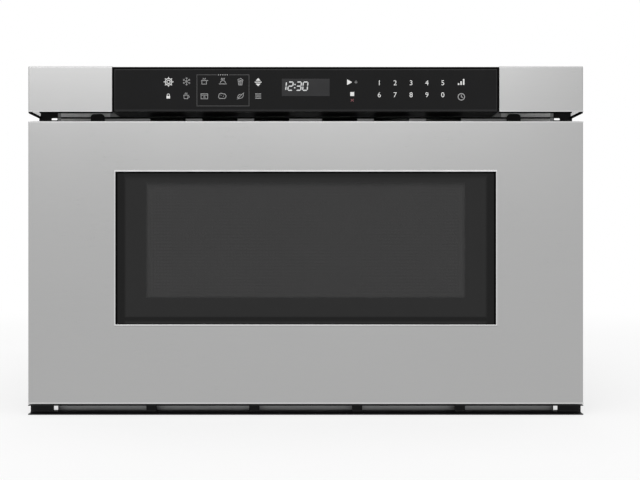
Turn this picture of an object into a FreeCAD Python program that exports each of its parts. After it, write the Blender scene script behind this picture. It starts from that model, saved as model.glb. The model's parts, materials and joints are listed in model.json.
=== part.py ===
import FreeCAD, Part
import math
import os

from FreeCAD import Vector

# A built-in microwave drawer, 24-inch class. Millimetres, +X to the right seen from the front,
# +Y to the back, +Z up. The origin is under the middle of the object, on the plane it stands on.
# Lengths called *_depth below are measured back from the plane of the front faces.

# ---------------------------------------------------------------- tests on edges
straight = 0.9            # a direction's share along an axis that counts as along it
same_place = 0.01

# ---------------------------------------------------------------- overall sizes
face_width = 606.4        # drawer front and trims, side to side
face_height = 381.0       # from the standing plane to the top of the trims
overall_depth = 594.0     # front faces to the backs of the screw heads
body_width = 556.0        # the case that goes into the kitchen cabinet
body_height = 366.0
frame_depth = 41.0        # front faces to the front of the frame plates
back_proud = 2.0          # room behind the back panel for screw heads and the cord bush

# ---------------------------------------------------------------- sheet thicknesses
case_t = 1.0
pan_t = 1.2
frame_t = 1.5
cavity_t = 0.8
skin_t = 0.8
trim_t = 0.8
arm_t = 1.5
bracket_t = 2.0
plastic_t = 2.0

# ---------------------------------------------------------------- front faces
control_bottom = 331.1    # lower edge of the trims and of the control panel
drawer_top = 320.9
drawer_bottom = 12.0
drawer_thickness = 38.0
panel_width = 422.6       # control panel between the two trims
panel_drop = 1.5          # the control panel's top lies this much below the trims' top
panel_set_back = 0.5
panel_glass_t = 3.1
trim_return = 3.0         # lip under each trim
trim_gap = 0.2            # trims, and the panel's lower edge, to their neighbours
housing_gap = 0.4         # housing to the line of the panel's ends
glass_gap = 1.0           # glass to the housing's ends
glass_edge_gap = 0.3      # glass to the housing's upper and lower faces
glass_bevel = 0.8
edge_r = 1.5              # bend radius of the front sheets
display_width = 52.4
display_height = 19.2
display_middle = 357.7    # height of the middle of the display
display_t = 1.8
lens_gap = 0.1
window_width = 414.4
window_height = 166.2
window_middle = 182.1
window_lip = 2.2          # polished bevel around the glass
window_glass_t = 4.0
window_set_back = 2.0
window_gap = 0.2
view_width = 347.0        # see-through part of the window
view_height = 120.0
view_middle = 190.3

# ---------------------------------------------------------------- bottom grille
grille_top = 10.9
grille_lip_t = 1.0
grille_web_depth = 10.0
grille_web_t = 1.5
grille_set_back = 0.4
grille_slots = 5
grille_slot_pitch = 113.4
grille_post = 11.3
grille_slot_low = 2.2
grille_slot_high = 9.5
grille_round = 2.0
pan_front_depth = 25.0    # the base pan's turned-up front edge
pan_lip = 6.0
pan_flange = 20.0

# ---------------------------------------------------------------- front frame
frame_width = 563.0
frame_bottom = 11.0
frame_seam = 0.8          # dark line between the lower and upper plates
seam_height = 330.4
vent_slot_width = 40.0
vent_slot_pitch = 59.0
vent_slot_low = 321.0
vent_slot_high = 330.0
vent_slots_each_side = 3
vent_first = 38.5
bay_inner = 233.0         # openings for the drawer arms and rails
bay_outer = 262.0
bay_low = 30.0
bay_high = 96.0
flange_low = 6.0          # the mounting flanges start above the standing plane
flange_leg = 30.0
mount_hole_r = 3.5
mount_hole_x = 286.0
mount_hole_low = 40.0
mount_hole_high = 300.0
flange_slot_width = 7.0   # hanging slots of the flanges, in sight above the drawer
flange_slot_low = 327.6
flange_slot_high = 330.0
flange_slot_round = 1.0
bumper_r = 7.7
bumper_round = 3.8
bumper_x = 236.0
bumper_low = 306.0
bumper_high = 334.1
low_bumper_x = 200.0
low_bumper_low = 36.0
low_bumper_high = 60.0
locating_hole_r = 1.6
locating_hole_x = 251.6
locating_hole_z = 328.0
touch_gap = 0.3           # gap between parts that meet when the drawer is shut
shelf_t = 1.5             # shelf that ties the control bracket to the case's roof
shelf_depth = 18.0
shelf_gap = 2.0
bracket_top_gap = 0.5     # bracket below the control panel's top
cable_way_half = 30.0     # opening for the control board's cables
cable_way_low = 345.0
cable_way_high = 357.0
housing_way_half = 25.0
housing_way_low = 347.0
housing_way_high = 355.0

# ---------------------------------------------------------------- control board behind the panel
board_depth = 22.0
board_t = 1.6
board_half = 150.0
board_low_gap = 6.0       # board above the panel's lower edge
board_high_gap = 8.0
post_r = 3.0
post_x = 140.0
post_inset = 5.0
chip_t = 1.0
chip_half = 12.0
chip_high = 369.0
part_low = 345.0          # lower edges of the board's larger components
part_high = 365.0
relay_width = 16.0
relay_depth = 12.0
relay_places = (60.0, 82.0, 104.0)
supply_x = (-110.0, -78.0)
supply_z = (342.0, 368.0)
supply_depth = 13.0
board_can_r = 5.0
board_can_places = (-60.0, -46.0)
board_can_z = 350.0
key_foil_half = 195.0     # foil of touch sensors behind the glass
key_foil_depth = (3.7, 5.2)
key_foil_low_gap = 4.0
key_foil_high_gap = 6.0
spacer_r = 2.5
spacer_x = 145.0
spacer_z = 355.0

# ---------------------------------------------------------------- vents and screws of the case
pan_vent_width = 8.0
pan_vent_length = 18.0
pan_vent_pitch = 20.0
pan_vent_row_pitch = 24.0
pan_vent_half = 150.0
pan_vent_start = 208.0    # first row behind the frame
pan_vent_rows = 2
case_turn = 14.0          # the case's turned-in rear edge
louvre_columns = 9
louvre_pitch = 9.0
louvre_width = 3.0
louvre_first = 30.0       # in front of the back panel
louvre_low = (150.0, 220.0)
louvre_height = 50.0
case_screw_inset = 8.0
side_screw_heights = (70.0, 200.0, 330.0)
top_screw_places = (-180.0, 0.0, 180.0)
pan_screw_places = (-200.0, 0.0, 200.0)
fan_vent_rows = 5
fan_vent_columns = 10
fan_vent_pitch = 7.5
fan_vent_row_pitch = 17.0
fan_vent_width = 3.5
fan_vent_height = 12.0
fan_vent_x = 12.0         # first column right of the shroud's left face
fan_vent_drop = 40.0      # first row below the magnetron's middle
exit_vents = 22
exit_vent_pitch = 8.0
exit_vent_width = 4.0
exit_vent_x = -236.0
exit_vent_z = (110.0, 150.0)

# ---------------------------------------------------------------- cooking cavity
cavity_width = 452.0
cavity_height = 194.0
machine_bay = 105.7         # room behind the cavity for the magnetron, fan and transformer
cavity_floor = 98.0
cavity_corner = 8.0
wall_hole_r = 2.0         # small holes of the cavity's rear wall
wall_hole_pitch = 8.0
lamp_hole_pitch = 7.0
lamp_holes = 3            # rows and columns of holes in front of the lamp
steam_hole_x = -190.0     # first steam vent hole
steam_hole_z = 240.0
steam_columns = 8
steam_rows = 4
feed_r = 75.0
feed_box_half = 90.0
feed_box_height = 26.0
duct_width = 90.0
duct_height = 30.0
duct_front_reach = 52.0   # how far the duct reaches in front of the feed hole
duct_tail = 2.0           # gap from the duct's end to the back panel
duct_t = 0.8
shaft_hole_r = 20.0
spindle_hole_r = 4.0
spindle_r = 3.0
spindle_play = 0.1
spindle_rise = 7.0        # spindle above the duct
antenna_gap = 8.0         # disc above the cavity's ceiling
antenna_t = 1.5
antenna_edge_gap = 10.0
antenna_slots = 4
antenna_slot_x = (18.0, 52.0)
antenna_slot_half = 4.0
antenna_slot_turn = 20.0
antenna_hub_r = 8.0
antenna_hub_height = 8.0
antenna_motor_r = 24.0
antenna_motor_height = 14.0
antenna_ear_half = 32.0
antenna_ear_width = 6.0
antenna_ear_t = 1.2
antenna_bore_depth = 8.0
cover_half = 110.0
cover_drop = 3.5
cover_t = 1.5
cover_stud_r = 4.0
cover_stud_inset = 12.0
cover_corner = 6.0

# ---------------------------------------------------------------- drawer box
tub_side_gap = 6.0        # cavity wall to tub wall
tub_floor_gap = 4.0
tub_top_gap = 7.0
tub_back_gap = 7.0
tub_t = 2.5
tub_flange = 14.0
tub_corner = 4.5          # outside bend radius; the inside is a wall's thickness less
tub_vents = 12
tub_vent_pitch = 12.0
tub_vent_width = 5.0
tub_vent_drop = (46.0, 20.0)   # the vents' lower and upper ends below the tub's rim
tub_vent_start = 240.0    # first vent behind the frame
rear_vents = 6
rear_vent_x = -190.0
glide_width = 30.0
glide_length = 18.0
glide_inset = 30.0
glide_corner = 3.0
glide_places = (30.0, 200.0)   # in front of the tub's back
tray_t = 5.0
tray_gap = 2.5
tray_corner = 5.0
recess_depth = 28.0       # the pressed recess in the drawer's inner panel
inner_panel_t = 1.0
inner_panel_gap = 0.2
recess_half = 236.0
recess_low = 88.0
recess_high = 302.0
choke_proud = 2.5         # choke cover stands this far behind the inner panel
choke_wall = 1.5
choke_gap = 1.5
choke_corner = 6.0
choke_inner_half = 190.0
choke_inner_low = 118.0
choke_inner_high = 263.0
screen_t = 0.6
screen_margin = 7.0
inner_glass_t = 2.0
inner_window_gap = 1.0
retainer_t = 3.0
retainer_gap = 1.0
retainer_view_gap = 2.0

# ---------------------------------------------------------------- rails, 3 members a side
rail_back_gap = 2.5        # rails end this much behind the cavity's back
rail_front_gap = 4.5      # behind the frame
rail_height = 40.0
rail_thickness = 12.7
rail_middle_z = 66.0
outer_wall = 1.4
middle_wall = 1.2
inner_wall = 1.4
ball_r = 1.5
ball_play = 0.1
cage_length = 220.0
cage_balls = 10
cage_start = 110.0        # cages' front ends behind the rails' front ends
cage_width = 5.0
cage_t = 1.0
cage_hole_play = 0.15
outer_lip = 3.2           # where each member's lips start, from the arm
middle_lip = 2.2
inner_reach = 9.0         # depth of the inner member
member_gap = 0.4          # between the webs of the outer and middle members
ball_x = 6.0              # middle of the balls, from the arm
rail_bracket_rise = 4.0
arm_inner = 243.5
arm_low = 34.0
arm_high = 94.0
arm_foot = 17.0

# ---------------------------------------------------------------- drawer drive
rack_module = 1.5
pinion_teeth = 20
pinion_width = 6.5
rack_width = 7.5
rack_height = 10.0
shaft_r = 4.0
shaft_z = 23.0
shaft_behind_frame = 39.5
shaft_play = 0.05
bush_wall = 2.0
bush_length = 6.0
shaft_bracket_x = 226.0
shaft_overhang = 1.5
shaft_bracket_t = 2.5
shaft_bracket_half = 14.0
shaft_bracket_rise = 12.0
shaft_bracket_foot = 24.0
foot_t = 2.0
pinion_gap = 0.5
gear_module = 1.0
driven_teeth = 36
motor_teeth = 16
gear_width = 8.0
gear_x = 60.0
motor_angle = 40.0        # line of centres from the shaft up to the motor, in degrees
backlash = 0.12
gearbox_half = 14.5
gearbox_length = 24.0
gearbox_gap = 2.0
motor_tail_r = 5.0
motor_tail_length = 4.0
motor_foot_front = 10.0
motor_foot_back = 8.0
motor_foot_side = 20.0
spindle_end = 1.0
spindle_reach = 12.0
motor_can_r = 14.0
motor_can_length = 56.0
motor_spindle_r = 2.5
pressure_angle = 20.0

# ---------------------------------------------------------------- interlocks
hook_x = 250.0
hook_z = 280.0
hook_head_width = 18.0
hook_head_height = 16.0
hook_head_t = 4.0
hook_stem = 3.0
hook_stem_height = 12.0
hook_reach = 29.7         # how far the hook's head reaches behind the frame
hook_slot_play = 3.0
hook_foot_t = 1.5
hook_foot_half = 12.0
bay_margin = 4.0          # interlock brackets above and below the switches
interlock_reach = 16.0
interlock_leg = 30.0
tab_room_half = 12.0
tab_room_z = (-11.0, 12.0)
tab_half = 3.0
tab_length = 6.0
tab_t = 0.8
tab_heights = (-9.0, 0.0, 9.0)
switch_hole_r = 1.6
switch_hole_back = 9.0
switch_hole_heights = (-10.0, 10.0)
well_room = 2.5
switch_width = 10.3
switch_height = 27.8
switch_length = 15.9
switch_gap = 0.4
plunger_r = 1.5
plunger_proud = 2.5
plunger_sunk = 5.0
plunger_play = 0.05

# ---------------------------------------------------------------- machine bay behind the cavity
magnetron_half = 40.0
magnetron_height = 80.0
magnetron_t = 2.0
anode_r = 20.0
fins = 6
fin_t = 0.8
dome_r = 7.0
dome_height = 22.0
dome_hole_r = 10.0
fin_inset = 2.0
filter_inset = 2.0
filter_t = 1.0
plug_reach = 8.0
plug_half = 12.0
plug_z = (10.0, 28.0)
filter_box_height = 40.0
fan_x = 120.0
fan_thickness = 25.0
fan_bore_r = 46.0
fan_tip_gap = 2.0
fan_hub_r = 14.0
fan_blades = 7
fan_blade_t = 1.6
fan_shaft_r = 2.5
fan_motor_half = 22.0
fan_motor_length = 28.0
fan_side = 104.0
fan_strut_t = 3.0
fan_strut_half = 3.0
fan_strut_inset = 2.0
fan_shaft_gap = 0.6
fan_blade_depth = 18.0
fan_blade_turn = 55.0
fan_root = 2.0
fan_front_gap = 2.0
fan_back_gap = 5.0
fan_shaft_reach = 12.0
fan_bell_r = 14.0
fan_stack_inset = 6.0
fan_coil_inset = 3.0
fan_coil_half = 14.0
fan_stack_rise = 12.0
fan_coil_z = (1.0, 10.0)
fan_bore_depth = 13.0
transformer_x = -182.0
core_width = 96.0
core_height = 80.0
core_length = 52.0
core_leg = 32.0
core_window = 16.0
winding_proud = 12.0
winding_gap = 0.3
winding_space = 1.5     # half the gap between the two coils
winding_corner = 9.0
transformer_foot = 8.0
transformer_foot_y = 6.0
capacitor_x = -90.0
capacitor_width = 33.0
capacitor_length = 52.0
capacitor_height = 95.0
capacitor_flat = 1.0
terminal_half = 3.0
terminal_t = 0.8
terminal_rise = 10.0
terminal_y = 12.0
lamp_x = 190.0
lamp_z = 250.0
lamp_bulb_r = 6.0
lamp_half = 18.0
lamp_window_half = 12.0
lamp_frame_t = 3.0
socket_half = 10.0
socket_reach = 24.0
bulb_y = 13.0
bulb_drop = 8.0
cord_x = 230.0
cord_z = 50.0
cord_r = 5.0
cord_bush_r = 9.0
cord_bush_flange = 14.0
cord_bush_inside = 10.0
cord_bush_play = 0.1
screw_r = 2.0
screw_head_r = 4.0
screw_play = 0.1
screw_length = 9.0
cross_half = 2.2          # the screws' cross recess
cross_slot = 0.4
cross_depth = 0.9

# ---------------------------------------------------------------- places that follow from the sizes
front_y = -overall_depth / 2
rear_y = overall_depth / 2
frame_front = front_y + frame_depth
frame_back = frame_front + frame_t
panel_back = rear_y - back_proud           # outer face of the back panel
panel_inner = panel_back - case_t          # inner face of the back panel
face_half = face_width / 2
body_half = body_width / 2
case_inner = body_half - case_t
frame_half = frame_width / 2
cavity_half = cavity_width / 2
cavity_top = cavity_floor + cavity_height
bay_front = panel_inner - machine_bay       # front of the machine bay
cavity_back = bay_front - cavity_t
bay_middle = (bay_front + panel_inner) / 2
feed_y = (frame_back + cavity_back) / 2
feed_box_top = cavity_top + cavity_t + feed_box_height
duct_top = feed_box_top - duct_t + duct_height
drawer_back = front_y + drawer_thickness
rail_front = frame_back + rail_front_gap
rail_length = cavity_back + rail_back_gap - rail_front
arm_outer = arm_inner + arm_t
rail_web_x = arm_outer + rail_thickness
shaft_y = frame_back + shaft_behind_frame
tub_half = cavity_half - tub_side_gap
tub_bottom = cavity_floor + tub_floor_gap
tub_top = cavity_top - tub_top_gap
tub_back = cavity_back - tub_back_gap
choke_back = drawer_back + choke_proud
hook_tip = frame_back + hook_reach
fan_y = panel_inner - fan_side / 2
switch_front = hook_tip + touch_gap + plunger_proud
switch_back = switch_front + switch_length
pitch_r = rack_module * pinion_teeth / 2
centres = gear_module * (driven_teeth + motor_teeth) / 2
motor_y = shaft_y + centres * math.cos(math.radians(motor_angle))
motor_z = shaft_z + centres * math.sin(math.radians(motor_angle))
magnetron_top = feed_box_top - duct_t
magnetron_bottom = magnetron_top - magnetron_height
magnetron_z = (magnetron_top + magnetron_bottom) / 2
grille_slot_width = grille_slot_pitch - grille_post


# ---------------------------------------------------------------- helpers
def block(x, y, z):
    """A box from three (low, high) pairs."""
    return Part.makeBox(x[1] - x[0], y[1] - y[0], z[1] - z[0], Vector(x[0], y[0], z[0]))


def slab(half, y, z):
    """A box centred on X."""
    return block((-half, half), y, z)


def rod(r, start, end):
    """A cylinder between two points."""
    a = Vector(*start)
    along = Vector(*end) - a
    return Part.makeCylinder(r, along.Length, a, along)


def join(shapes):
    first, rest = shapes[0], shapes[1:]
    return first.fuse(rest).removeSplitter() if rest else first


def cut(shape, tools):
    return shape.cut(Part.makeCompound(tools)) if tools else shape


def mirrored(shape):
    return shape.mirror(Vector(0, 0, 0), Vector(1, 0, 0))


def both(shape):
    """A piece for the right side and its mirror image for the left."""
    return [shape, mirrored(shape)]


def round_edges(shape, r, wanted):
    """Fillets the straight edges that wanted(middle, direction) picks."""
    picked = []
    for edge in shape.Edges:
        if len(edge.Vertexes) == 2:
            a, b = edge.Vertexes[0].Point, edge.Vertexes[1].Point
            if wanted((a + b) * 0.5, (b - a).normalize()):
                picked.append(edge)
    return shape.makeFillet(r, picked)


def along_y(middle, direction):
    """True for an edge that runs front to back."""
    return abs(direction.y) > straight


def along_z(middle, direction):
    """True for an upright edge."""
    return abs(direction.z) > straight


def tube_x(outer, inner):
    """The material between two boxes, each given as (x, y, z) pairs."""
    return block(*outer).cut(block(*inner))


def save(name, solids):
    solids = solids if isinstance(solids, list) else [solids]
    shape = Part.makeCompound(solids) if len(solids) > 1 else solids[0]
    shape.exportStep("parts/" + name + ".step")


# ---------------------------------------------------------------- gears
def involute(angle):
    return math.tan(angle) - angle


def gear_outline(teeth, module, first_tooth):
    """Points around a spur gear in its own plane, a tooth centred on first_tooth radians."""
    pitch = module * teeth / 2
    tip, root = pitch + module, pitch - 1.25 * module
    alpha = math.radians(pressure_angle)
    base = pitch * math.cos(alpha)
    half = (math.pi * module / 2 - backlash) / (2 * pitch) + involute(alpha)
    start = max(base, root)
    steps = 4
    flank = []
    for i in range(steps + 1):
        r = start + (tip - start) * i / steps
        flank.append((r, half - involute(math.acos(min(1.0, base / r)))))
    if root < base:
        flank.insert(0, (root, half))
    points = []
    for tooth in range(teeth):
        middle = first_tooth + 2 * math.pi * tooth / teeth
        rising = [(r, middle - a) for r, a in flank]
        falling = [(r, middle + a) for r, a in reversed(flank)]
        points += [(r * math.cos(a), r * math.sin(a)) for r, a in rising + falling]
    return points


def gear(teeth, module, first_tooth, x, y, z, bore):
    """A spur gear turning about X, spanning the pair x, centred on y and z."""
    points = [Vector(x[0], y + a, z + b) for a, b in gear_outline(teeth, module, first_tooth)]
    face = Part.Face(Part.makePolygon(points + points[:1]))
    wheel = face.extrude(Vector(x[1] - x[0], 0, 0))
    return wheel.cut(rod(bore, (x[0] - 1, y, z), (x[1] + 1, y, z)))


def rack(x, y, pitch_z, tooth_y):
    """A rack with its teeth down, spanning the pairs x and y, a tooth centred on tooth_y."""
    pitch = math.pi * rack_module
    slope = math.tan(math.radians(pressure_angle))
    tip = pitch_z - rack_module
    root = pitch_z + 1.25 * rack_module
    half = (pitch / 2 - backlash) / 2
    half_tip = half - rack_module * slope
    half_root = half + 1.25 * rack_module * slope
    first = math.ceil((y[0] + half_root - tooth_y) / pitch)
    last = math.floor((y[1] - half_root - tooth_y) / pitch)
    top = root + rack_height
    points = [(y[0], top), (y[0], root)]
    for n in range(first, last + 1):
        middle = tooth_y + n * pitch
        points += [
            (middle - half_root, root),
            (middle - half_tip, tip),
            (middle + half_tip, tip),
            (middle + half_root, root),
        ]
    points += [(y[1], root), (y[1], top)]
    outline = [Vector(x[0], a, b) for a, b in points]
    face = Part.Face(Part.makePolygon(outline + outline[:1]))
    return face.extrude(Vector(x[1] - x[0], 0, 0))


# ---------------------------------------------------------------- case and frames
def base_pan():
    floor_y = (front_y + pan_front_depth, panel_inner)
    floor = slab(case_inner, floor_y, (0, pan_t))
    lip = slab(case_inner, (floor_y[0], floor_y[0] + pan_t), (0, pan_lip))
    side = block((case_inner - pan_t, case_inner), (frame_back, panel_inner), (0, pan_flange))
    back = slab(case_inner, (panel_inner - pan_t, panel_inner), (0, pan_flange))
    columns = int(2 * pan_vent_half / pan_vent_pitch) + 1
    vents = []
    for row in range(pan_vent_rows):
        y = frame_back + pan_vent_start + pan_vent_row_pitch * row
        for column in range(columns):
            x = pan_vent_pitch * column - pan_vent_half
            across = (x - pan_vent_width / 2, x + pan_vent_width / 2)
            vents.append(block(across, (y, y + pan_vent_length), (-1, pan_t + 1)))
    holes = [screw_hole(x, z) for x, z in pan_screws()]
    return cut(join([floor, lip, back] + both(side)), vents + holes)


def outer_case():
    outer = ((-body_half, body_half), (frame_back, panel_inner), (pan_t, body_height))
    inner = ((-case_inner, case_inner), (frame_back - 1, panel_inner + 1), (-1, body_height - case_t))
    wrap = tube_x(outer, inner)
    turned = tube_x(
        ((-case_inner, case_inner), (panel_inner - case_t, panel_inner), (pan_flange, body_height - case_t)),
        (
            (-case_inner + case_turn, case_inner - case_turn),
            (panel_inner - case_t - 1, panel_inner + 1),
            (-1, body_height - case_t - case_turn),
        ),
    )
    louvres = []
    for low in louvre_low:
        for column in range(louvre_columns):
            y = panel_inner - louvre_first - louvre_pitch * column
            louvres.append(slab(body_half + 1, (y - louvre_width, y), (low, low + louvre_height)))
    holes = [screw_hole(x, z) for x, z in case_screw_places()]
    return cut(join([wrap, turned]), louvres + holes)


def case_screw_places():
    """Screws through the back panel into the case's turned-in edge."""
    side = body_half - case_screw_inset
    top = body_height - case_screw_inset
    places = [(s * side, z) for s in (-1, 1) for z in side_screw_heights]
    return places + [(x, top) for x in top_screw_places]


def pan_screws():
    return [(x, pan_flange / 2) for x in pan_screw_places]


def screw_hole(x, z):
    return rod(screw_r + screw_play, (x, panel_inner - 4, z), (x, panel_back + 1, z))


def back_panel():
    plate = slab(body_half, (panel_inner, panel_back), (pan_t, body_height))
    through = (panel_inner - 1, panel_back + 1)
    holes = [screw_hole(x, z) for x, z in case_screw_places() + pan_screws()]
    holes.append(rod(cord_bush_r, (cord_x, through[0], cord_z), (cord_x, through[1], cord_z)))
    slots = []
    for row in range(fan_vent_rows):
        z = magnetron_z - fan_vent_drop + fan_vent_row_pitch * row
        for column in range(fan_vent_columns):
            x = fan_x + fan_vent_x + fan_vent_pitch * column
            slots.append(block((x, x + fan_vent_width), through, (z, z + fan_vent_height)))
    for n in range(exit_vents):
        x = exit_vent_x + exit_vent_pitch * n
        slots.append(block((x, x + exit_vent_width), through, exit_vent_z))
    return cut(plate, holes + slots)


def case_screws():
    """Pan-head screws in the back panel, as one group."""
    made = []
    recess = (rear_y - cross_depth, rear_y + 1)
    for x, z in case_screw_places() + pan_screws():
        head = rod(screw_head_r, (x, panel_back, z), (x, rear_y, z))
        shank = rod(screw_r, (x, panel_back - screw_length, z), (x, panel_back + 0.5, z))
        cross = [
            block((x - a, x + a), recess, (z - b, z + b))
            for a, b in ((cross_half, cross_slot), (cross_slot, cross_half))
        ]
        made.append(cut(join([head, shank]), cross))
    return made


def front_frame():
    plate = slab(frame_half, (frame_front, frame_back), (frame_bottom, seam_height))
    foot = block((bay_inner, case_inner), (frame_front, frame_back), (pan_t, frame_bottom))
    deep = (frame_front - 1, frame_back + 1)
    opening = slab(cavity_half, deep, (cavity_floor, cavity_top))
    opening = round_edges(opening, cavity_corner, along_y)
    holes = [opening]
    holes += both(block((bay_inner, bay_outer), deep, (bay_low, bay_high)))
    hook_half = hook_head_width / 2 + hook_slot_play
    hook_rise = hook_head_height / 2 + hook_slot_play
    holes += both(
        block((hook_x - hook_half, hook_x + hook_half), deep, (hook_z - hook_rise, hook_z + hook_rise))
    )
    for n in range(vent_slots_each_side):
        middle = vent_first + n * vent_slot_pitch
        low, high = middle - vent_slot_width / 2, middle + vent_slot_width / 2
        holes += both(block((low, high), deep, (vent_slot_low, vent_slot_high)))
    x, z = locating_hole_x, locating_hole_z
    holes += both(rod(locating_hole_r, (x, deep[0], z), (x, deep[1], z)))
    return cut(join([plate] + both(foot)), holes)


def control_bracket():
    """Upper frame plate that carries the control panel and the trims."""
    top = face_height - panel_drop - bracket_top_gap
    plate = slab(frame_half, (frame_front, frame_back), (seam_height + frame_seam, top))
    roof = body_height - case_t
    shelf = slab(case_inner - shelf_gap, (frame_back, frame_back + shelf_depth), (roof - shelf_t, roof))
    way = slab(cable_way_half, (frame_front - 1, frame_back + 1), (cable_way_low, cable_way_high))
    return cut(join([plate, shelf]), [way])


def mounting_flanges():
    """Angle brackets at each side that the kitchen cabinet's face takes the screws of."""
    y = (frame_back, frame_back + frame_t)
    z = (flange_low, body_height)
    face = block((body_half, face_half), y, z)
    leg = block((body_half, body_half + frame_t), (frame_back, frame_back + flange_leg), z)
    holes = [
        rod(mount_hole_r, (mount_hole_x, y[0] - 1, height), (mount_hole_x, y[1] + 1, height))
        for height in (mount_hole_low, mount_hole_high)
    ]
    slot_x = (mount_hole_x - flange_slot_width / 2, mount_hole_x + flange_slot_width / 2)
    slot = block(slot_x, (y[0] - 1, y[1] + 1), (flange_slot_low, flange_slot_high))
    slot = round_edges(slot, flange_slot_round, along_y)
    return both(cut(join([face, leg]), holes + [slot]))


def bottom_grille():
    """Black channel under the drawer: two lips, a web set back, long slots between posts."""
    lip_y = front_y + grille_set_back
    web_y = front_y + grille_web_depth
    inner = (pan_t, grille_top - grille_lip_t)
    upper = slab(face_half, (lip_y, frame_front), (inner[1], grille_top))
    lower = slab(face_half, (lip_y, front_y + pan_front_depth), (0, pan_t))
    web = slab(face_half, (web_y, web_y + grille_web_t), inner)

    def inner_corner(p, d):
        on_web = abs(p.y - web_y) < same_place
        return abs(d.x) > straight and on_web and min(abs(p.z - z) for z in inner) < same_place

    body = round_edges(join([upper, lower, web]), grille_round, inner_corner)
    slots = []
    for n in range(grille_slots):
        middle = (n - (grille_slots - 1) / 2) * grille_slot_pitch
        slot = block(
            (middle - grille_slot_width / 2, middle + grille_slot_width / 2),
            (lip_y + 1, web_y + grille_web_t + 1),
            (grille_slot_low, grille_slot_high),
        )
        slots.append(slot)
    return cut(body, slots)


def frame_bumpers():
    """Rubber pads with round ends that the drawer's inner panel shuts against."""
    y = (drawer_back + touch_gap, frame_front)
    made = []
    for x, z in ((bumper_x, (bumper_low, bumper_high)), (low_bumper_x, (low_bumper_low, low_bumper_high))):
        pad = block((x - bumper_r, x + bumper_r), y, z)
        made += both(round_edges(pad, bumper_round, along_y))
    return made


# ---------------------------------------------------------------- control panel and trims
def side_trims():
    x = (panel_width / 2 + trim_gap, face_half)
    y = (front_y, frame_front)
    z = (control_bottom, face_height)
    shell = round_edges(
        block(x, y, z),
        edge_r,
        lambda p, d: (abs(p.y - front_y) < same_place and abs(p.x - x[0]) > same_place)
        or (abs(d.y) > straight and p.x > x[0] + 1 and p.z > z[0] + 1),
    )
    across = (x[0] + trim_t, x[1] - trim_t)
    hollow = block(across, (front_y + trim_t, frame_front + 1), (z[0] - 1, z[1] - trim_t))
    lip = block(across, (front_y + trim_t, front_y + trim_return), (z[0], z[0] + trim_t))
    return both(join([shell.cut(hollow), lip]))


def control_housing():
    half = panel_width / 2 - housing_gap
    y = (front_y + panel_set_back + panel_glass_t, frame_front)
    z = (control_bottom + trim_gap, face_height - panel_drop)
    walls = tube_x(
        ((-half, half), y, z),
        (
            (-half + plastic_t, half - plastic_t),
            (y[0] - 1, y[1] - plastic_t),
            (z[0] + plastic_t, z[1] - plastic_t),
        ),
    )
    way = slab(housing_way_half, (y[1] - plastic_t - 1, y[1] + 1), (housing_way_low, housing_way_high))
    return walls.cut(way)


def control_glass():
    half = panel_width / 2 - housing_gap - glass_gap
    y = (front_y + panel_set_back, front_y + panel_set_back + panel_glass_t)
    z = (control_bottom + trim_gap + glass_edge_gap, face_height - panel_drop - glass_edge_gap)
    glass = slab(half, y, z)
    front_edges = [e for e in glass.Edges if all(abs(v.Point.y - y[0]) < same_place for v in e.Vertexes)]
    glass = glass.makeChamfer(glass_bevel, front_edges)
    low = display_middle - display_height / 2
    pocket = slab(display_width / 2, (y[0] - 1, y[0] + display_t), (low, low + display_height))
    return glass.cut(pocket)


def display_lens():
    y = front_y + panel_set_back
    rise = display_height / 2 - lens_gap
    z = (display_middle - rise, display_middle + rise)
    return slab(display_width / 2 - lens_gap, (y + lens_gap, y + display_t), z)


def control_board():
    """Circuit board on stand-offs, with its larger components."""
    front = front_y + board_depth
    behind = front + board_t
    z = (control_bottom + board_low_gap, face_height - board_high_gap)
    board = slab(board_half, (front, behind), z)
    back = frame_front - plastic_t
    posts = [
        rod(post_r, (x, behind, h), (x, back, h))
        for x in (-post_x, post_x)
        for h in (z[0] + post_inset, z[1] - post_inset)
    ]
    relay_y = (behind, behind + relay_depth)
    relays = [block((x, x + relay_width), relay_y, (part_low, part_high)) for x in relay_places]
    supply = block(supply_x, (behind, behind + supply_depth), supply_z)
    cans = [
        rod(board_can_r, (x, behind, board_can_z), (x, behind + supply_depth, board_can_z))
        for x in board_can_places
    ]
    chip = slab(chip_half, (front - chip_t, front), (part_low, chip_high))
    foil_y = (front_y + key_foil_depth[0], front_y + key_foil_depth[1])
    foil_z = (control_bottom + key_foil_low_gap, face_height - key_foil_high_gap)
    foil = slab(key_foil_half, foil_y, foil_z)
    spacers = [rod(spacer_r, (x, foil_y[1], spacer_z), (x, front, spacer_z)) for x in (-spacer_x, spacer_x)]
    return [join([board] + posts + spacers), foil] + relays + [supply] + cans + [chip]


# ---------------------------------------------------------------- cooking cavity and microwave feed
def oven_cavity():
    y = (frame_back, cavity_back + cavity_t)
    z = (cavity_floor - cavity_t, cavity_top + cavity_t)
    outer = round_edges(slab(cavity_half + cavity_t, y, z), cavity_corner + cavity_t, along_y)
    inner = slab(cavity_half, (frame_back - 1, cavity_back), (cavity_floor, cavity_top))
    inner = round_edges(inner, cavity_corner, along_y)
    holes = [rod(feed_r, (0, feed_y, cavity_top - 1), (0, feed_y, z[1] + 1))]
    lamp_reach = lamp_hole_pitch * (lamp_holes - 1) / 2
    fields = (
        (lamp_x - lamp_reach, lamp_z - lamp_reach, lamp_hole_pitch, lamp_holes, lamp_holes),
        (steam_hole_x, steam_hole_z, wall_hole_pitch, steam_columns, steam_rows),
    )
    for first_x, first_z, pitch, columns, rows in fields:
        for column in range(columns):
            for row in range(rows):
                x, height = first_x + pitch * column, first_z + pitch * row
                holes.append(rod(wall_hole_r, (x, cavity_back - 1, height), (x, y[1] + 1, height)))
    return cut(outer.cut(inner), holes)


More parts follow.
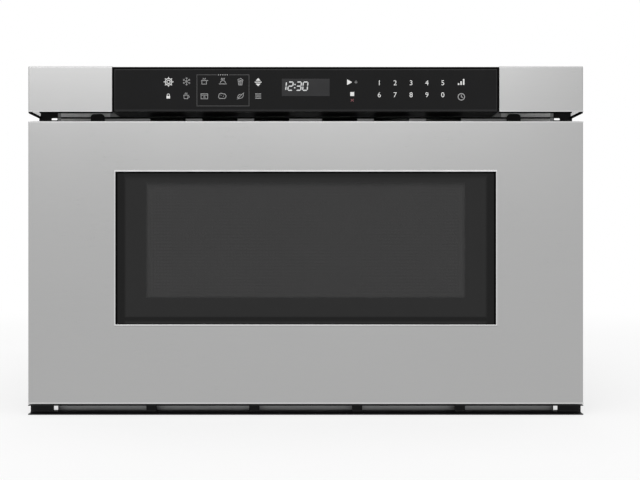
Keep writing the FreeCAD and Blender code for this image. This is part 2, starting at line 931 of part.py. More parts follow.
def ceiling_cover():
    """Microwave-clear plate under the feed hole, on four studs."""
    low = cavity_top - cover_drop
    plate = slab(cover_half, (feed_y - cover_half, feed_y + cover_half), (low, low + cover_t))
    plate = round_edges(plate, cover_corner, along_z)
    reach = cover_half - cover_stud_inset
    corners = [(sx * reach, feed_y + sy * reach) for sx in (-1, 1) for sy in (-1, 1)]
    studs = [rod(cover_stud_r, (x, y, low + cover_t), (x, y, cavity_top)) for x, y in corners]
    return join([plate] + studs)


def waveguide():
    """Feed box over the cavity's ceiling with the duct that runs back to the magnetron."""
    base = cavity_top + cavity_t
    half = feed_box_half
    box_outer = block((-half, half), (feed_y - half, feed_y + half), (base, feed_box_top))
    box_inner = block(
        (-half + duct_t, half - duct_t),
        (feed_y - half + duct_t, feed_y + half - duct_t),
        (base - 1, feed_box_top - duct_t),
    )
    duct_half = duct_width / 2
    duct_y = (feed_y - duct_front_reach, panel_inner - duct_tail)
    duct_outer = slab(duct_half, duct_y, (feed_box_top - duct_t, duct_top))
    duct_inner = slab(
        duct_half - duct_t, (duct_y[0] + duct_t, duct_y[1] - duct_t), (feed_box_top, duct_top - duct_t)
    )
    coupling = rod(shaft_hole_r, (0, feed_y, feed_box_top - 2), (0, feed_y, feed_box_top + 2))
    spindle = rod(spindle_hole_r, (0, feed_y, duct_top - 2), (0, feed_y, duct_top + 1))
    dome = rod(dome_hole_r, (0, bay_middle, feed_box_top - 2), (0, bay_middle, feed_box_top + 2))
    return cut(join([box_outer.cut(box_inner), duct_outer]), [duct_inner, coupling, spindle, dome])


def stirrer_antenna():
    """Slotted disc on a plastic spindle, turned by the motor on top of the duct."""
    low = cavity_top + cavity_t + antenna_gap
    disc = rod(feed_r - antenna_edge_gap, (0, feed_y, low), (0, feed_y, low + antenna_t))
    slots = []
    for n in range(antenna_slots):
        across = (feed_y - antenna_slot_half, feed_y + antenna_slot_half)
        slot = block(antenna_slot_x, across, (low - 1, low + antenna_t + 1))
        slot.rotate(Vector(0, feed_y, 0), Vector(0, 0, 1), 360 / antenna_slots * n + antenna_slot_turn)
        slots.append(slot)
    hub = rod(antenna_hub_r, (0, feed_y, low), (0, feed_y, low + antenna_hub_height))
    spindle = rod(spindle_r, (0, feed_y, low), (0, feed_y, duct_top + spindle_rise))
    return join([cut(disc, slots), hub, spindle])


def antenna_motor():
    can = rod(antenna_motor_r, (0, feed_y, duct_top), (0, feed_y, duct_top + antenna_motor_height))
    across = (feed_y - antenna_ear_width, feed_y + antenna_ear_width)
    ears = slab(antenna_ear_half, across, (duct_top, duct_top + antenna_ear_t))
    top = duct_top + antenna_bore_depth
    bore = rod(spindle_r + spindle_play, (0, feed_y, duct_top - 1), (0, feed_y, top))
    return join([can, ears]).cut(bore)


# ---------------------------------------------------------------- machine bay
def magnetron_case():
    """The magnetron's steel yoke and, under it, the filter box with its connector."""
    half = magnetron_half
    y = (bay_middle - half - magnetron_t, bay_middle + half + magnetron_t)
    z = (magnetron_bottom, magnetron_top)
    ring = slab(half, y, z).cut(
        slab(half + 1, (y[0] + magnetron_t, y[1] - magnetron_t), (z[0] + magnetron_t, z[1] - magnetron_t))
    )
    through = rod(dome_hole_r, (0, bay_middle, z[1] - magnetron_t - 1), (0, bay_middle, z[1] + 1))
    half = magnetron_half - filter_inset
    low = magnetron_bottom - filter_box_height
    box = slab(half, (bay_middle - half, bay_middle + half), (low, z[0]))
    plug = block(
        (-half - plug_reach, -half),
        (bay_middle - plug_half, bay_middle + plug_half),
        (low + plug_z[0], low + plug_z[1]),
    )
    inside = half - filter_t
    inner = slab(inside, (bay_middle - inside, bay_middle + inside), (low + filter_t, z[0] - filter_t))
    return [ring.cut(through), join([box.cut(inner), plug])]


def magnetron_anode():
    """Anode block with its cooling fins and the antenna dome in the duct."""
    low, high = magnetron_bottom + magnetron_t, magnetron_top - magnetron_t
    made = [rod(anode_r, (0, bay_middle, low), (0, bay_middle, high))]
    step = (high - low) / (fins + 1)
    reach = magnetron_half - fin_inset
    for n in range(fins):
        z = low + step * (n + 1)
        made.append(slab(reach, (bay_middle - reach, bay_middle + reach), (z, z + fin_t)))
    made.append(rod(dome_r, (0, bay_middle, high), (0, bay_middle, magnetron_top + dome_height)))
    return join(made)


def fan_shroud():
    side = fan_side / 2
    x = (fan_x, fan_x + fan_thickness)
    y = (fan_y - side, fan_y + side)
    z = (magnetron_z - side, magnetron_z + side)
    bore = rod(fan_bore_r, (x[0] - 1, fan_y, magnetron_z), (x[1] + 1, fan_y, magnetron_z))
    ring = block(x, y, z).cut(bore)
    back = (x[1] - fan_strut_t, x[1])
    struts = [
        block(
            back,
            (y[0] + fan_strut_inset, y[1] - fan_strut_inset),
            (magnetron_z - fan_strut_half, magnetron_z + fan_strut_half),
        ),
        block(
            back,
            (fan_y - fan_strut_half, fan_y + fan_strut_half),
            (z[0] + fan_strut_inset, z[1] - fan_strut_inset),
        ),
    ]
    seat = rod(fan_hub_r, (back[0], fan_y, magnetron_z), (back[1], fan_y, magnetron_z))
    hole_r = fan_shaft_r + fan_shaft_gap
    through = rod(hole_r, (back[0] - 1, fan_y, magnetron_z), (back[1] + 1, fan_y, magnetron_z))
    return join([ring, seat] + struts).cut(through)


def fan_impeller():
    """Axial impeller with its steel shaft."""
    tip = fan_bore_r - fan_tip_gap
    x = (fan_x + fan_front_gap, fan_x + fan_thickness - fan_back_gap)
    hub = rod(fan_hub_r, (x[0], fan_y, magnetron_z), (x[1], fan_y, magnetron_z))
    limit = rod(tip, (x[0], fan_y, magnetron_z), (x[1], fan_y, magnetron_z))
    root = fan_hub_r - fan_root
    corner = Vector(-fan_blade_t / 2, -fan_blade_depth / 2, root)
    blades = []
    for n in range(fan_blades):
        blade = Part.makeBox(fan_blade_t, fan_blade_depth, tip - root, corner)
        blade.rotate(Vector(0, 0, 0), Vector(0, 0, 1), fan_blade_turn)
        blade.rotate(Vector(0, 0, 0), Vector(1, 0, 0), 360 / fan_blades * n)
        blade.translate(Vector((x[0] + x[1]) / 2, fan_y, magnetron_z))
        blades.append(blade.common(limit))
    end = fan_x + fan_thickness + fan_shaft_reach
    shaft = rod(fan_shaft_r, (x[0], fan_y, magnetron_z), (end, fan_y, magnetron_z))
    return join([hub, shaft] + blades)


def fan_motor():
    half = fan_motor_half
    x = (fan_x + fan_thickness, fan_x + fan_thickness + fan_motor_length)
    stack_x = (x[0] + fan_stack_inset, x[1] - fan_stack_inset)
    coil_x = (x[0] + fan_coil_inset, x[1] - fan_coil_inset)
    top = magnetron_z + half
    stack = block(stack_x, (fan_y - half, fan_y + half), (magnetron_z - half, top + fan_stack_rise))
    bell = rod(fan_bell_r, (x[0], fan_y, magnetron_z), (x[1], fan_y, magnetron_z))
    coil_y = (fan_y - fan_coil_half, fan_y + fan_coil_half)
    coil = block(coil_x, coil_y, (top + fan_coil_z[0], top + fan_coil_z[1]))
    bore_r = fan_shaft_r + spindle_play
    bore = rod(bore_r, (x[0] - 1, fan_y, magnetron_z), (x[0] + fan_bore_depth, fan_y, magnetron_z))
    return join([stack, bell, coil]).cut(bore)


def transformer_core():
    """Laminated core on its foot plate."""
    x0 = transformer_x
    half = core_width / 2
    y = (bay_middle - core_length / 2, bay_middle + core_length / 2)
    z = (pan_t + foot_t, pan_t + foot_t + core_height)
    core = block((x0 - half, x0 + half), y, z)
    window_z = (z[0] + core_leg / 2, z[1] - core_leg / 2)
    windows = []
    for side in (-1, 1):
        low = x0 + side * (core_leg / 2 + core_window / 2) - core_window / 2
        windows.append(block((low, low + core_window), (y[0] - 1, y[1] + 1), window_z))
    reach = half + transformer_foot
    foot_y = (y[0] - transformer_foot_y, y[1] + transformer_foot_y)
    foot = block((x0 - reach, x0 + reach), foot_y, (pan_t, z[0]))
    return join([cut(core, windows), foot])


def transformer_windings():
    """Primary and secondary coils around the core's middle leg."""
    x0 = transformer_x
    z_low = pan_t + foot_t + core_leg / 2
    z_high = pan_t + foot_t + core_height - core_leg / 2
    middle = (z_low + z_high) / 2
    outer = core_leg / 2 + core_window - winding_gap
    reach = core_length / 2 + winding_proud
    leg = core_leg / 2 + winding_gap
    leg_y = core_length / 2 + winding_gap
    hole = block((x0 - leg, x0 + leg), (bay_middle - leg_y, bay_middle + leg_y), (z_low - 1, z_high + 1))
    made = []
    lower = (z_low + winding_gap, middle - winding_space)
    upper = (middle + winding_space, z_high - winding_gap)
    for z in (lower, upper):
        coil = block((x0 - outer, x0 + outer), (bay_middle - reach, bay_middle + reach), z)
        made.append(round_edges(coil, winding_corner, along_z).cut(hole))
    return made


def hv_capacitor():
    half = capacitor_width / 2
    top = pan_t + capacitor_height
    y = (bay_middle - capacitor_length / 2, bay_middle + capacitor_length / 2)
    can = block((capacitor_x - half, capacitor_x + half), y, (pan_t, top))
    can = round_edges(can, half - capacitor_flat, along_z)
    across = (capacitor_x - terminal_half, capacitor_x + terminal_half)
    tabs = []
    for side in (-1, 1):
        front = bay_middle + side * terminal_y - terminal_t / 2
        tabs.append(block(across, (front, front + terminal_t), (top, top + terminal_rise)))
    return join([can] + tabs)


def oven_lamp():
    """Lamp frame with its socket, and the bulb, against the cavity's rear wall."""
    x = (lamp_x - lamp_half, lamp_x + lamp_half)
    base = block(x, (bay_front, bay_front + lamp_frame_t), (lamp_z - lamp_half, lamp_z + lamp_half))
    window = block(
        (lamp_x - lamp_window_half, lamp_x + lamp_window_half),
        (bay_front - 1, bay_front + lamp_frame_t + 1),
        (lamp_z - lamp_window_half, lamp_z + lamp_window_half),
    )
    socket = block(
        (lamp_x - socket_half, lamp_x + socket_half),
        (bay_front + lamp_frame_t, bay_front + socket_reach),
        (lamp_z + lamp_window_half, lamp_z + lamp_half),
    )
    y = bay_front + bulb_y
    bulb = rod(lamp_bulb_r, (lamp_x, y, lamp_z - bulb_drop), (lamp_x, y, lamp_z + lamp_window_half))
    return [join([base.cut(window), socket]), bulb]


def cord_bushing():
    """Gland for the supply cord: a flange outside the back panel and a sleeve inside."""
    inner = panel_inner - cord_bush_inside
    flange = rod(cord_bush_flange, (cord_x, panel_back, cord_z), (cord_x, rear_y, cord_z))
    sleeve = rod(cord_bush_r - cord_bush_play, (cord_x, inner, cord_z), (cord_x, panel_back, cord_z))
    bore = rod(cord_r, (cord_x, inner - 1, cord_z), (cord_x, rear_y + 1, cord_z))
    return join([flange, sleeve]).cut(bore)


# ---------------------------------------------------------------- rails
def channel(u, half_height, wall, web_at_outer):
    """A C-section rail member on the right side. u spans its depth from the arm's outer face."""
    x = (arm_outer + u[0], arm_outer + u[1])
    y = (rail_front, rail_front + rail_length)
    z = (rail_middle_z - half_height, rail_middle_z + half_height)
    full = block(x, y, z)
    hollow_x = (x[0] - 1, x[1] - wall) if web_at_outer else (x[0] + wall, x[1] + 1)
    return full.cut(block(hollow_x, (y[0] - 1, y[1] + 1), (z[0] + wall, z[1] - wall)))


def rail_heights():
    """Half heights of the outer, middle and inner members, a ball's room apart."""
    step = 2 * (ball_r + ball_play)
    outer = rail_height / 2
    middle = outer - outer_wall - step
    inner = middle - middle_wall - step
    return outer, middle, inner


def rails_outer():
    return both(channel((outer_lip, rail_thickness), rail_heights()[0], outer_wall, True))


def rails_middle():
    web = rail_thickness - outer_wall - member_gap
    return both(channel((middle_lip, web), rail_heights()[1], middle_wall, True))


def rails_inner():
    return both(channel((0, inner_reach), rail_heights()[2], inner_wall, False))


def ball_cages(reach):
    """Cage strips above and below a rail member, at this height from its middle, with their balls."""
    x_middle = arm_outer + ball_x
    y0 = rail_front + cage_start
    places = [y0 + cage_length * (i + 0.5) / cage_balls for i in range(cage_balls)]
    hole_r = ball_r + cage_hole_play
    made = []
    for side in (-1, 1):
        z = rail_middle_z + side * reach
        strip = block(
            (x_middle - cage_width / 2, x_middle + cage_width / 2),
            (y0, y0 + cage_length),
            (z - cage_t / 2, z + cage_t / 2),
        )
        holes = [rod(hole_r, (x_middle, y, z - cage_t), (x_middle, y, z + cage_t)) for y in places]
        made += both(cut(strip, holes))
        for y in places:
            made += both(Part.makeSphere(ball_r, Vector(x_middle, y, z)))
    return made


def outer_ball_cages():
    return ball_cages(rail_heights()[1] + ball_r + ball_play)


def inner_ball_cages():
    return ball_cages(rail_heights()[2] + ball_r + ball_play)


def rail_brackets():
    """Angles on the base pan that carry the outer rail members."""
    y = (rail_front, rail_front + rail_length)
    top = rail_middle_z + rail_height / 2 + rail_bracket_rise
    wall = block((rail_web_x, rail_web_x + bracket_t), y, (pan_t, top))
    foot = block((rail_web_x, case_inner - pan_t), y, (pan_t, pan_t + bracket_t))
    return both(join([wall, foot]))


# ---------------------------------------------------------------- drawer drive
def shaft_brackets():
    x = (shaft_bracket_x, shaft_bracket_x + shaft_bracket_t)
    y = (shaft_y - shaft_bracket_half, shaft_y + shaft_bracket_half)
    wall = block(x, y, (pan_t, shaft_z + shaft_bracket_rise))
    foot = block((x[0] - shaft_bracket_foot, x[0]), y, (pan_t, pan_t + foot_t))
    hole_r = shaft_r + shaft_play + bush_wall
    hole = rod(hole_r, (x[0] - 1, shaft_y, shaft_z), (x[1] + 1, shaft_y, shaft_z))
    return both(join([wall, foot]).cut(hole))


def shaft_bushes():
    low = shaft_bracket_x + (shaft_bracket_t - bush_length) / 2
    high = low + bush_length
    bore_r = shaft_r + shaft_play
    outer = rod(bore_r + bush_wall, (low, shaft_y, shaft_z), (high, shaft_y, shaft_z))
    bore = rod(bore_r, (low - 1, shaft_y, shaft_z), (high + 1, shaft_y, shaft_z))
    return both(outer.cut(bore))


def drive_shaft():
    reach = arm_inner + shaft_overhang
    return rod(shaft_r, (-reach, shaft_y, shaft_z), (reach, shaft_y, shaft_z))


def shaft_pinions():
    """One pinion under each rack, a tooth space straight up."""
    high = arm_inner - pinion_gap
    x = (high - pinion_width, high)
    first = math.pi / 2 + math.pi / pinion_teeth
    return both(gear(pinion_teeth, rack_module, first, x, shaft_y, shaft_z, shaft_r))


def driven_gear():
    first = math.radians(motor_angle)
    return gear(driven_teeth, gear_module, first, (gear_x, gear_x + gear_width), shaft_y, shaft_z, shaft_r)


def motor_gear():
    """Motor pinion on its spindle, a tooth space towards the driven gear."""
    first = math.radians(motor_angle) + math.pi + math.pi / motor_teeth
    x = (gear_x, gear_x + gear_width)
    wheel = gear(motor_teeth, gear_module, first, x, motor_y, motor_z, motor_spindle_r)
    ends = (x[0] - spindle_end, x[1] + spindle_reach)
    spindle = rod(motor_spindle_r, (ends[0], motor_y, motor_z), (ends[1], motor_y, motor_z))
    return join([wheel, spindle])


def drive_motor():
    """Geared motor with its foot on the base pan."""
    x = (gear_x + gear_width + gearbox_gap, gear_x + gear_width + gearbox_gap + gearbox_length)
    half = gearbox_half
    can_end = x[1] + motor_can_length
    box = block(x, (motor_y - half, motor_y + half), (motor_z - half, motor_z + half))
    can = rod(motor_can_r, (x[1], motor_y, motor_z), (can_end, motor_y, motor_z))
    tail = rod(motor_tail_r, (can_end, motor_y, motor_z), (can_end + motor_tail_length, motor_y, motor_z))
    foot_y = (motor_y - motor_foot_front, motor_y + half)
    foot = block(x, foot_y, (pan_t, motor_z - half))
    plate_x = (x[0], x[1] + motor_foot_side)
    plate = block(plate_x, (foot_y[0], foot_y[1] + motor_foot_back), (pan_t, pan_t + foot_t))
    bore_r = motor_spindle_r + shaft_play
    bore = rod(bore_r, (x[0] - 1, motor_y, motor_z), (x[0] + spindle_reach, motor_y, motor_z))
    return join([box, can, tail, foot, plate]).cut(bore)


def drawer_racks():
    y = (rail_front, rail_front + rail_length)
    return both(rack((arm_inner - rack_width, arm_inner), y, shaft_z + pitch_r, shaft_y))


# ---------------------------------------------------------------- interlocks
def switch_x():
    """Left edges of the switch bodies: one on the left side, two on the right."""
    pair = 2 * switch_width + switch_gap
    return {
        "primary": -hook_x - switch_width / 2,
        "secondary": hook_x - pair / 2,
        "monitor": hook_x + pair / 2 - switch_width,
    }


def interlock_switches():
    y = (switch_front, switch_back)
    pin_y = y[0] + switch_hole_back
    well_end = y[0] + plunger_sunk + well_room
    made = []
    for x in switch_x().values():
        body = block((x, x + switch_width), y, (hook_z - switch_height / 2, hook_z + switch_height / 2))
        middle = x + switch_width / 2
        well = rod(plunger_r + plunger_play, (middle, y[0] - 1, hook_z), (middle, well_end, hook_z))
        across = (middle - tab_half, middle + tab_half)
        tabs = [
            block(across, (y[1], y[1] + tab_length), (hook_z + h, hook_z + h + tab_t)) for h in tab_heights
        ]
        holes = [
            rod(switch_hole_r, (x - 1, pin_y, hook_z + h), (x + switch_width + 1, pin_y, hook_z + h))
            for h in switch_hole_heights
        ]
        made.append(cut(join([body] + tabs), [well] + holes))
    return made


def plunger(name):
    middle = switch_x()[name] + switch_width / 2
    tip = switch_front - plunger_proud
    return rod(plunger_r, (middle, tip, hook_z), (middle, switch_front + plunger_sunk, hook_z))


def interlock_brackets():
    """Plates behind the switches, each with a side leg on the case and slots for the tabs."""
    half_height = switch_height / 2 + bay_margin
    z = (hook_z - half_height, hook_z + half_height)
    wall = block((hook_x - interlock_reach, case_inner), (switch_back, switch_back + bracket_t), z)
    leg = block((case_inner - bracket_t, case_inner), (switch_back - interlock_leg, switch_back), z)
    tab_room = block(
        (hook_x - tab_room_half, hook_x + tab_room_half),
        (switch_back - 1, switch_back + bracket_t + 1),
        (hook_z + tab_room_z[0], hook_z + tab_room_z[1]),
    )
    return both(join([wall, leg]).cut(tab_room))


def latch_hooks():
    """Hooks on the drawer's inner panel that press the switches as the drawer shuts."""
    x = (hook_x - hook_head_width / 2, hook_x + hook_head_width / 2)
    foot_z = (hook_z - hook_foot_half, hook_z + hook_foot_half)
    foot = block(x, (drawer_back, drawer_back + hook_foot_t), foot_z)
    stem_z = (hook_z - hook_stem_height / 2, hook_z + hook_stem_height / 2)
    stem = block((hook_x - hook_stem / 2, hook_x + hook_stem / 2), (drawer_back, hook_tip), stem_z)
    head_z = (hook_z - hook_head_height / 2, hook_z + hook_head_height / 2)
    head = block(x, (hook_tip - hook_head_t, hook_tip), head_z)
    return both(join([foot, stem, head]))


# ---------------------------------------------------------------- drawer front
def rounded_front(half, z, r):
    """A box as thick as the drawer front with its front and side bends rounded."""
    body = slab(half, (front_y, drawer_back), z)
    return round_edges(body, r, lambda p, d: abs(p.y - front_y) < same_place or abs(d.y) > straight)


def window_frustum(grow, y):
    """A tapered block for the window's bevel, from the front plane back to y, grown all round."""
    wires = []
    for depth, extra in ((0, window_lip), (1, 0)):
        half = window_width / 2 + extra + grow
        rise = window_height / 2 + extra + grow
        plane = front_y + (y - front_y) * depth
        corners = [
            Vector(sx * half, plane, window_middle + sz * rise)
            for sx, sz in ((-1, -1), (1, -1), (1, 1), (-1, 1))
        ]
        wires.append(Part.makePolygon(corners + corners[:1]))
    return Part.makeLoft(wires, True, True)


def drawer_skin():
    """Stainless front: one sheet folded round on four sides, with a bevelled window opening."""
    z = (drawer_bottom, drawer_top)
    shell = rounded_front(face_half, z, edge_r)
    inner_r = edge_r - skin_t
    hollow = slab(face_half - skin_t, (front_y + skin_t, drawer_back + 1), (z[0] + skin_t, z[1] - skin_t))
    hollow = round_edges(
        hollow, inner_r, lambda p, d: abs(p.y - front_y - skin_t) < same_place or abs(d.y) > straight
    )
    lip_back = front_y + window_lip
    collar = window_frustum(skin_t, lip_back)
    bore = window_frustum(0, lip_back)
    return join([shell.cut(hollow), collar]).cut(bore)


def window_glass():
    half, rise = window_width / 2 - window_gap, window_height / 2 - window_gap
    y = (front_y + window_set_back, front_y + window_set_back + window_glass_t)
    return slab(half, y, (window_middle - rise, window_middle + rise))


def window_retainer():
    """Moulded frame between the glass and the inner panel."""
    y = (front_y + window_set_back + window_glass_t, front_y + recess_depth)
    half, rise = window_width / 2 - retainer_gap, window_height / 2 - retainer_gap
    view_half, view_rise = view_width / 2 + retainer_view_gap, view_height / 2 + retainer_view_gap

    def outline(grow, depth):
        """A box inside the frame's rim, shrunk by grow."""
        rim = rise - grow
        return ((-half + grow, half - grow), depth, (window_middle - rim, window_middle + rim))

    def mouth(grow, depth):
        """A box round the see-through part, grown."""
        lip = view_rise + grow
        return ((-view_half - grow, view_half + grow), depth, (view_middle - lip, view_middle + lip))

    ring = tube_x(outline(0, y), mouth(0, (y[0] - 1, y[1] + 1)))
    hollow = tube_x(
        outline(retainer_t, (y[0] + retainer_t, y[1] + 1)), mouth(retainer_t, (y[0] + 1, y[1] + 2))
    )
    return ring.cut(hollow)


def inner_panel():
    """Pressed steel panel that closes the skin, with the recess for the choke."""
    half = face_half - skin_t - inner_panel_gap
    z = (drawer_bottom + skin_t + inner_panel_gap, drawer_top - skin_t - inner_panel_gap)
    plate = slab(half, (drawer_back - inner_panel_t, drawer_back), z)
    floor_y = front_y + recess_depth
    recess = slab(recess_half, (floor_y, drawer_back), (recess_low, recess_high))
    hollow = slab(
        recess_half - inner_panel_t,
        (floor_y + inner_panel_t, drawer_back + 1),
        (recess_low + inner_panel_t, recess_high - inner_panel_t),
    )
    view_z = (view_middle - view_height / 2, view_middle + view_height / 2)
    view = slab(view_width / 2, (floor_y - 1, drawer_back + 1), view_z)
    return cut(join([plate, recess]), [hollow, view])


def perforated_screen():
    """Thin shielding plate behind the see-through part. Its holes are too fine to model here."""
    floor_y = front_y + recess_depth + inner_panel_t
    half = view_width / 2 + screen_margin
    rise = view_height / 2 + screen_margin
    return slab(half, (floor_y, floor_y + screen_t), (view_middle - rise, view_middle + rise))


def inner_window():
    y = front_y + recess_depth + inner_panel_t + screen_t
    z = (choke_inner_low + inner_window_gap, choke_inner_high - inner_window_gap)
    return slab(choke_inner_half - inner_window_gap, (y, y + inner_glass_t), z)


def choke_cover():
    """Plastic ring over the choke channel, round the drawer's mouth."""
    outer_half = recess_half - inner_panel_t - choke_gap
    low, high = recess_low + inner_panel_t + choke_gap, recess_high - inner_panel_t - choke_gap
    floor_y = front_y + recess_depth + inner_panel_t
    full = slab(outer_half, (floor_y, choke_back), (low, high))
    full = round_edges(full, choke_corner, along_y)
    mouth = slab(choke_inner_half, (floor_y - 1, choke_back + 1), (choke_inner_low, choke_inner_high))
    trough = tube_x(
        (
            (-outer_half + choke_wall, outer_half - choke_wall),
            (floor_y - 1, choke_back - choke_wall),
            (low + choke_wall, high - choke_wall),
        ),
        (
            (-choke_inner_half - choke_wall, choke_inner_half + choke_wall),
            (floor_y - 2, choke_back),
            (choke_inner_low - choke_wall, choke_inner_high + choke_wall),
        ),
    )
    trough = round_edges(
        trough,
        choke_corner - choke_wall,
        lambda p, d: abs(d.y) > straight and abs(p.x) > outer_half - choke_corner,
    )
    return cut(full, [mouth, trough])


# ---------------------------------------------------------------- drawer box
def drawer_tub():
    """Three-walled tub with a floor, screwed to the drawer front by its front flange."""
    y = (choke_back, tub_back)
    outer = slab(tub_half, y, (tub_bottom, tub_top))
    outer = round_edges(
        outer,
        tub_corner,
        lambda p, d: (along_y(p, d) and p.z < tub_bottom + 1) or (along_z(p, d) and p.y > y[1] - 1),
    )
    inner = slab(tub_half - tub_t, (y[0] - 1, y[1] - tub_t), (tub_bottom + tub_t, tub_top + 1))
    inner = round_edges(
        inner,
        tub_corner - tub_t,
        lambda p, d: (along_y(p, d) and p.z < tub_top) or (along_z(p, d) and p.y > y[1] - tub_t - 1),
    )
    flange_x = (tub_half - tub_flange, tub_half - tub_t / 2)
    flange = block(flange_x, (y[0], y[0] + tub_t), (tub_bottom + tub_t, tub_top))
    vent_z = (tub_top - tub_vent_drop[0], tub_top - tub_vent_drop[1])
    vents = []
    for n in range(tub_vents):
        low = frame_back + tub_vent_start + tub_vent_pitch * n
        vents.append(slab(tub_half + 1, (low, low + tub_vent_width), vent_z))
    for n in range(rear_vents):
        low = rear_vent_x + tub_vent_pitch * n
        vents.append(block((low, low + tub_vent_width), (tub_back - tub_t - 1, tub_back + 1), vent_z))
    return cut(join([outer.cut(inner)] + both(flange)), vents)


def glass_tray():
    half = tub_half - tub_t - tray_gap
    low = tub_bottom + tub_t + touch_gap
    y = (choke_back + tub_t + tray_gap, tub_back - tub_t - tray_gap)
    tray = slab(half, y, (low, low + tray_t))
    return round_edges(tray, tray_corner, along_z)


def tub_glides():
    """Nylon pads under the tub that slide on the cavity's floor."""
    x = (tub_half - glide_inset - glide_width, tub_half - glide_inset)
    made = []
    for place in glide_places:
        y = tub_back - place
        pad = block(x, (y, y + glide_length), (cavity_floor + touch_gap, tub_bottom))
        made += both(round_edges(pad, glide_corner, along_z))
    return made


def drawer_arms():
    """Steel arms from the drawer front back to the rails, outside the cavity."""
    z = (arm_low, arm_high)
    rear = rail_front + rail_length
    plate = block((arm_inner, arm_outer), (drawer_back, rear), z)
    foot = block((arm_inner, arm_inner + arm_foot), (drawer_back, drawer_back + arm_t), z)
    return both(join([plate, foot]))


# ---------------------------------------------------------------- everything, by node name
nodes = {
    "base_pan": base_pan,
    "outer_case": outer_case,
    "back_panel": back_panel,
    "case_screws": case_screws,
    "front_frame": front_frame,
    "control_bracket": control_bracket,
    "mounting_flanges": mounting_flanges,
    "bottom_grille": bottom_grille,
    "frame_bumpers": frame_bumpers,
    "side_trims": side_trims,
    "control_housing": control_housing,
    "control_glass": control_glass,
    "display_lens": display_lens,
    "control_board": control_board,
    "oven_cavity": oven_cavity,
    "ceiling_cover": ceiling_cover,
    "waveguide": waveguide,
    "stirrer_antenna": stirrer_antenna,
    "antenna_motor": antenna_motor,
    "magnetron_case": magnetron_case,
    "magnetron_anode": magnetron_anode,
    "fan_shroud": fan_shroud,
    "fan_impeller": fan_impeller,
    "fan_motor": fan_motor,
    "transformer_core": transformer_core,
    "transformer_windings": transformer_windings,
    "hv_capacitor": hv_capacitor,
    "oven_lamp": oven_lamp,
    "cord_bushing": cord_bushing,
    "rail_brackets": rail_brackets,
    "rails_outer": rails_outer,
    "rails_middle": rails_middle,
    "rails_inner": rails_inner,
    "outer_ball_cages": outer_ball_cages,
    "inner_ball_cages": inner_ball_cages,
    "shaft_brackets": shaft_brackets,
    "shaft_bushes": shaft_bushes,
    "drive_shaft": drive_shaft,
    "shaft_pinions": shaft_pinions,
    "driven_gear": driven_gear,
    "motor_gear": motor_gear,
    "drive_motor": drive_motor,
    "drawer_racks": drawer_racks,
    "interlock_switches": interlock_switches,
    "interlock_brackets": interlock_brackets,
    "primary_plunger": lambda: plunger("primary"),
    "secondary_plunger": lambda: plunger("secondary"),
    "monitor_plunger": lambda: plunger("monitor"),
    "latch_hooks": latch_hooks,
    "drawer_skin": drawer_skin,
    "window_glass": window_glass,
    "window_retainer": window_retainer,
    "inner_panel": inner_panel,
    "perforated_screen": perforated_screen,
    "inner_window": inner_window,
    "choke_cover": choke_cover,
    "drawer_tub": drawer_tub,
    "glass_tray": glass_tray,
    "tub_glides": tub_glides,
    "drawer_arms": drawer_arms,
}

os.makedirs("parts", exist_ok=True)
for name, make in nodes.items():
    save(name, make())
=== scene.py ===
"""Looks of the built-in microwave drawer. Metres, X to the right, front towards -Y, Z up."""

import json
import math

import bpy
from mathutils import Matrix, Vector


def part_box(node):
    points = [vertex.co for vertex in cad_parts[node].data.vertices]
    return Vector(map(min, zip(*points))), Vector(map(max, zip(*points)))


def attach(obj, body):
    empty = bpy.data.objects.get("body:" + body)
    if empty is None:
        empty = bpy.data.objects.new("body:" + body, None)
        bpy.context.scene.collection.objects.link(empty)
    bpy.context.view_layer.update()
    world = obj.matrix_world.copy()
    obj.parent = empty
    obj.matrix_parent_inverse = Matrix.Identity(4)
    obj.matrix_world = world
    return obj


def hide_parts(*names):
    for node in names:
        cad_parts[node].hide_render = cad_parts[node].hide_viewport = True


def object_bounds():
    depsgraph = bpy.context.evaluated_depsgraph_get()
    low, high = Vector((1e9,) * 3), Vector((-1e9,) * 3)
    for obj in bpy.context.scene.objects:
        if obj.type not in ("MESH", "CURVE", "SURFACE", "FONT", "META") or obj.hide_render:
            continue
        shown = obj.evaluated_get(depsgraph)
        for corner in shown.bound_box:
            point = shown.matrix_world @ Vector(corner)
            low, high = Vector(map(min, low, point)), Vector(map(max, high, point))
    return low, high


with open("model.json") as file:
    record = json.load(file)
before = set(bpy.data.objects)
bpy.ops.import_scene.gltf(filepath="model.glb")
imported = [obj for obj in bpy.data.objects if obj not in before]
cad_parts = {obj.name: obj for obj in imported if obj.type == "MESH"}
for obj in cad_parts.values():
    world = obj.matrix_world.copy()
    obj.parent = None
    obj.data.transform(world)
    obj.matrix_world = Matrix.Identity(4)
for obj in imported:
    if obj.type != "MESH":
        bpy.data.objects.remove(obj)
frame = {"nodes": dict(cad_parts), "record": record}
cad_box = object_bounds()

MM = 0.001
FRONT = cad_box[0].y
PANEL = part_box("control_glass")
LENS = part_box("display_lens")
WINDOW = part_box("window_glass")
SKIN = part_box("drawer_skin")
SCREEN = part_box("perforated_screen")


# ---------------------------------------------------------------- node helpers

def add(tree, kind, inputs=None, **settings):
    """A shader node with its settings, and each input joined to a socket or set to a value."""
    made = tree.nodes.new(kind)
    for key, value in settings.items():
        setattr(made, key, value)
    for key, value in (inputs or {}).items():
        if isinstance(value, bpy.types.NodeSocket):
            tree.links.new(value, made.inputs[key])
        else:
            made.inputs[key].default_value = value
    return made


def arithmetic(tree, operation, a, b=0.0):
    """One step of arithmetic between sockets or numbers."""
    return add(tree, "ShaderNodeMath", {0: a, 1: b}, operation=operation).outputs[0]


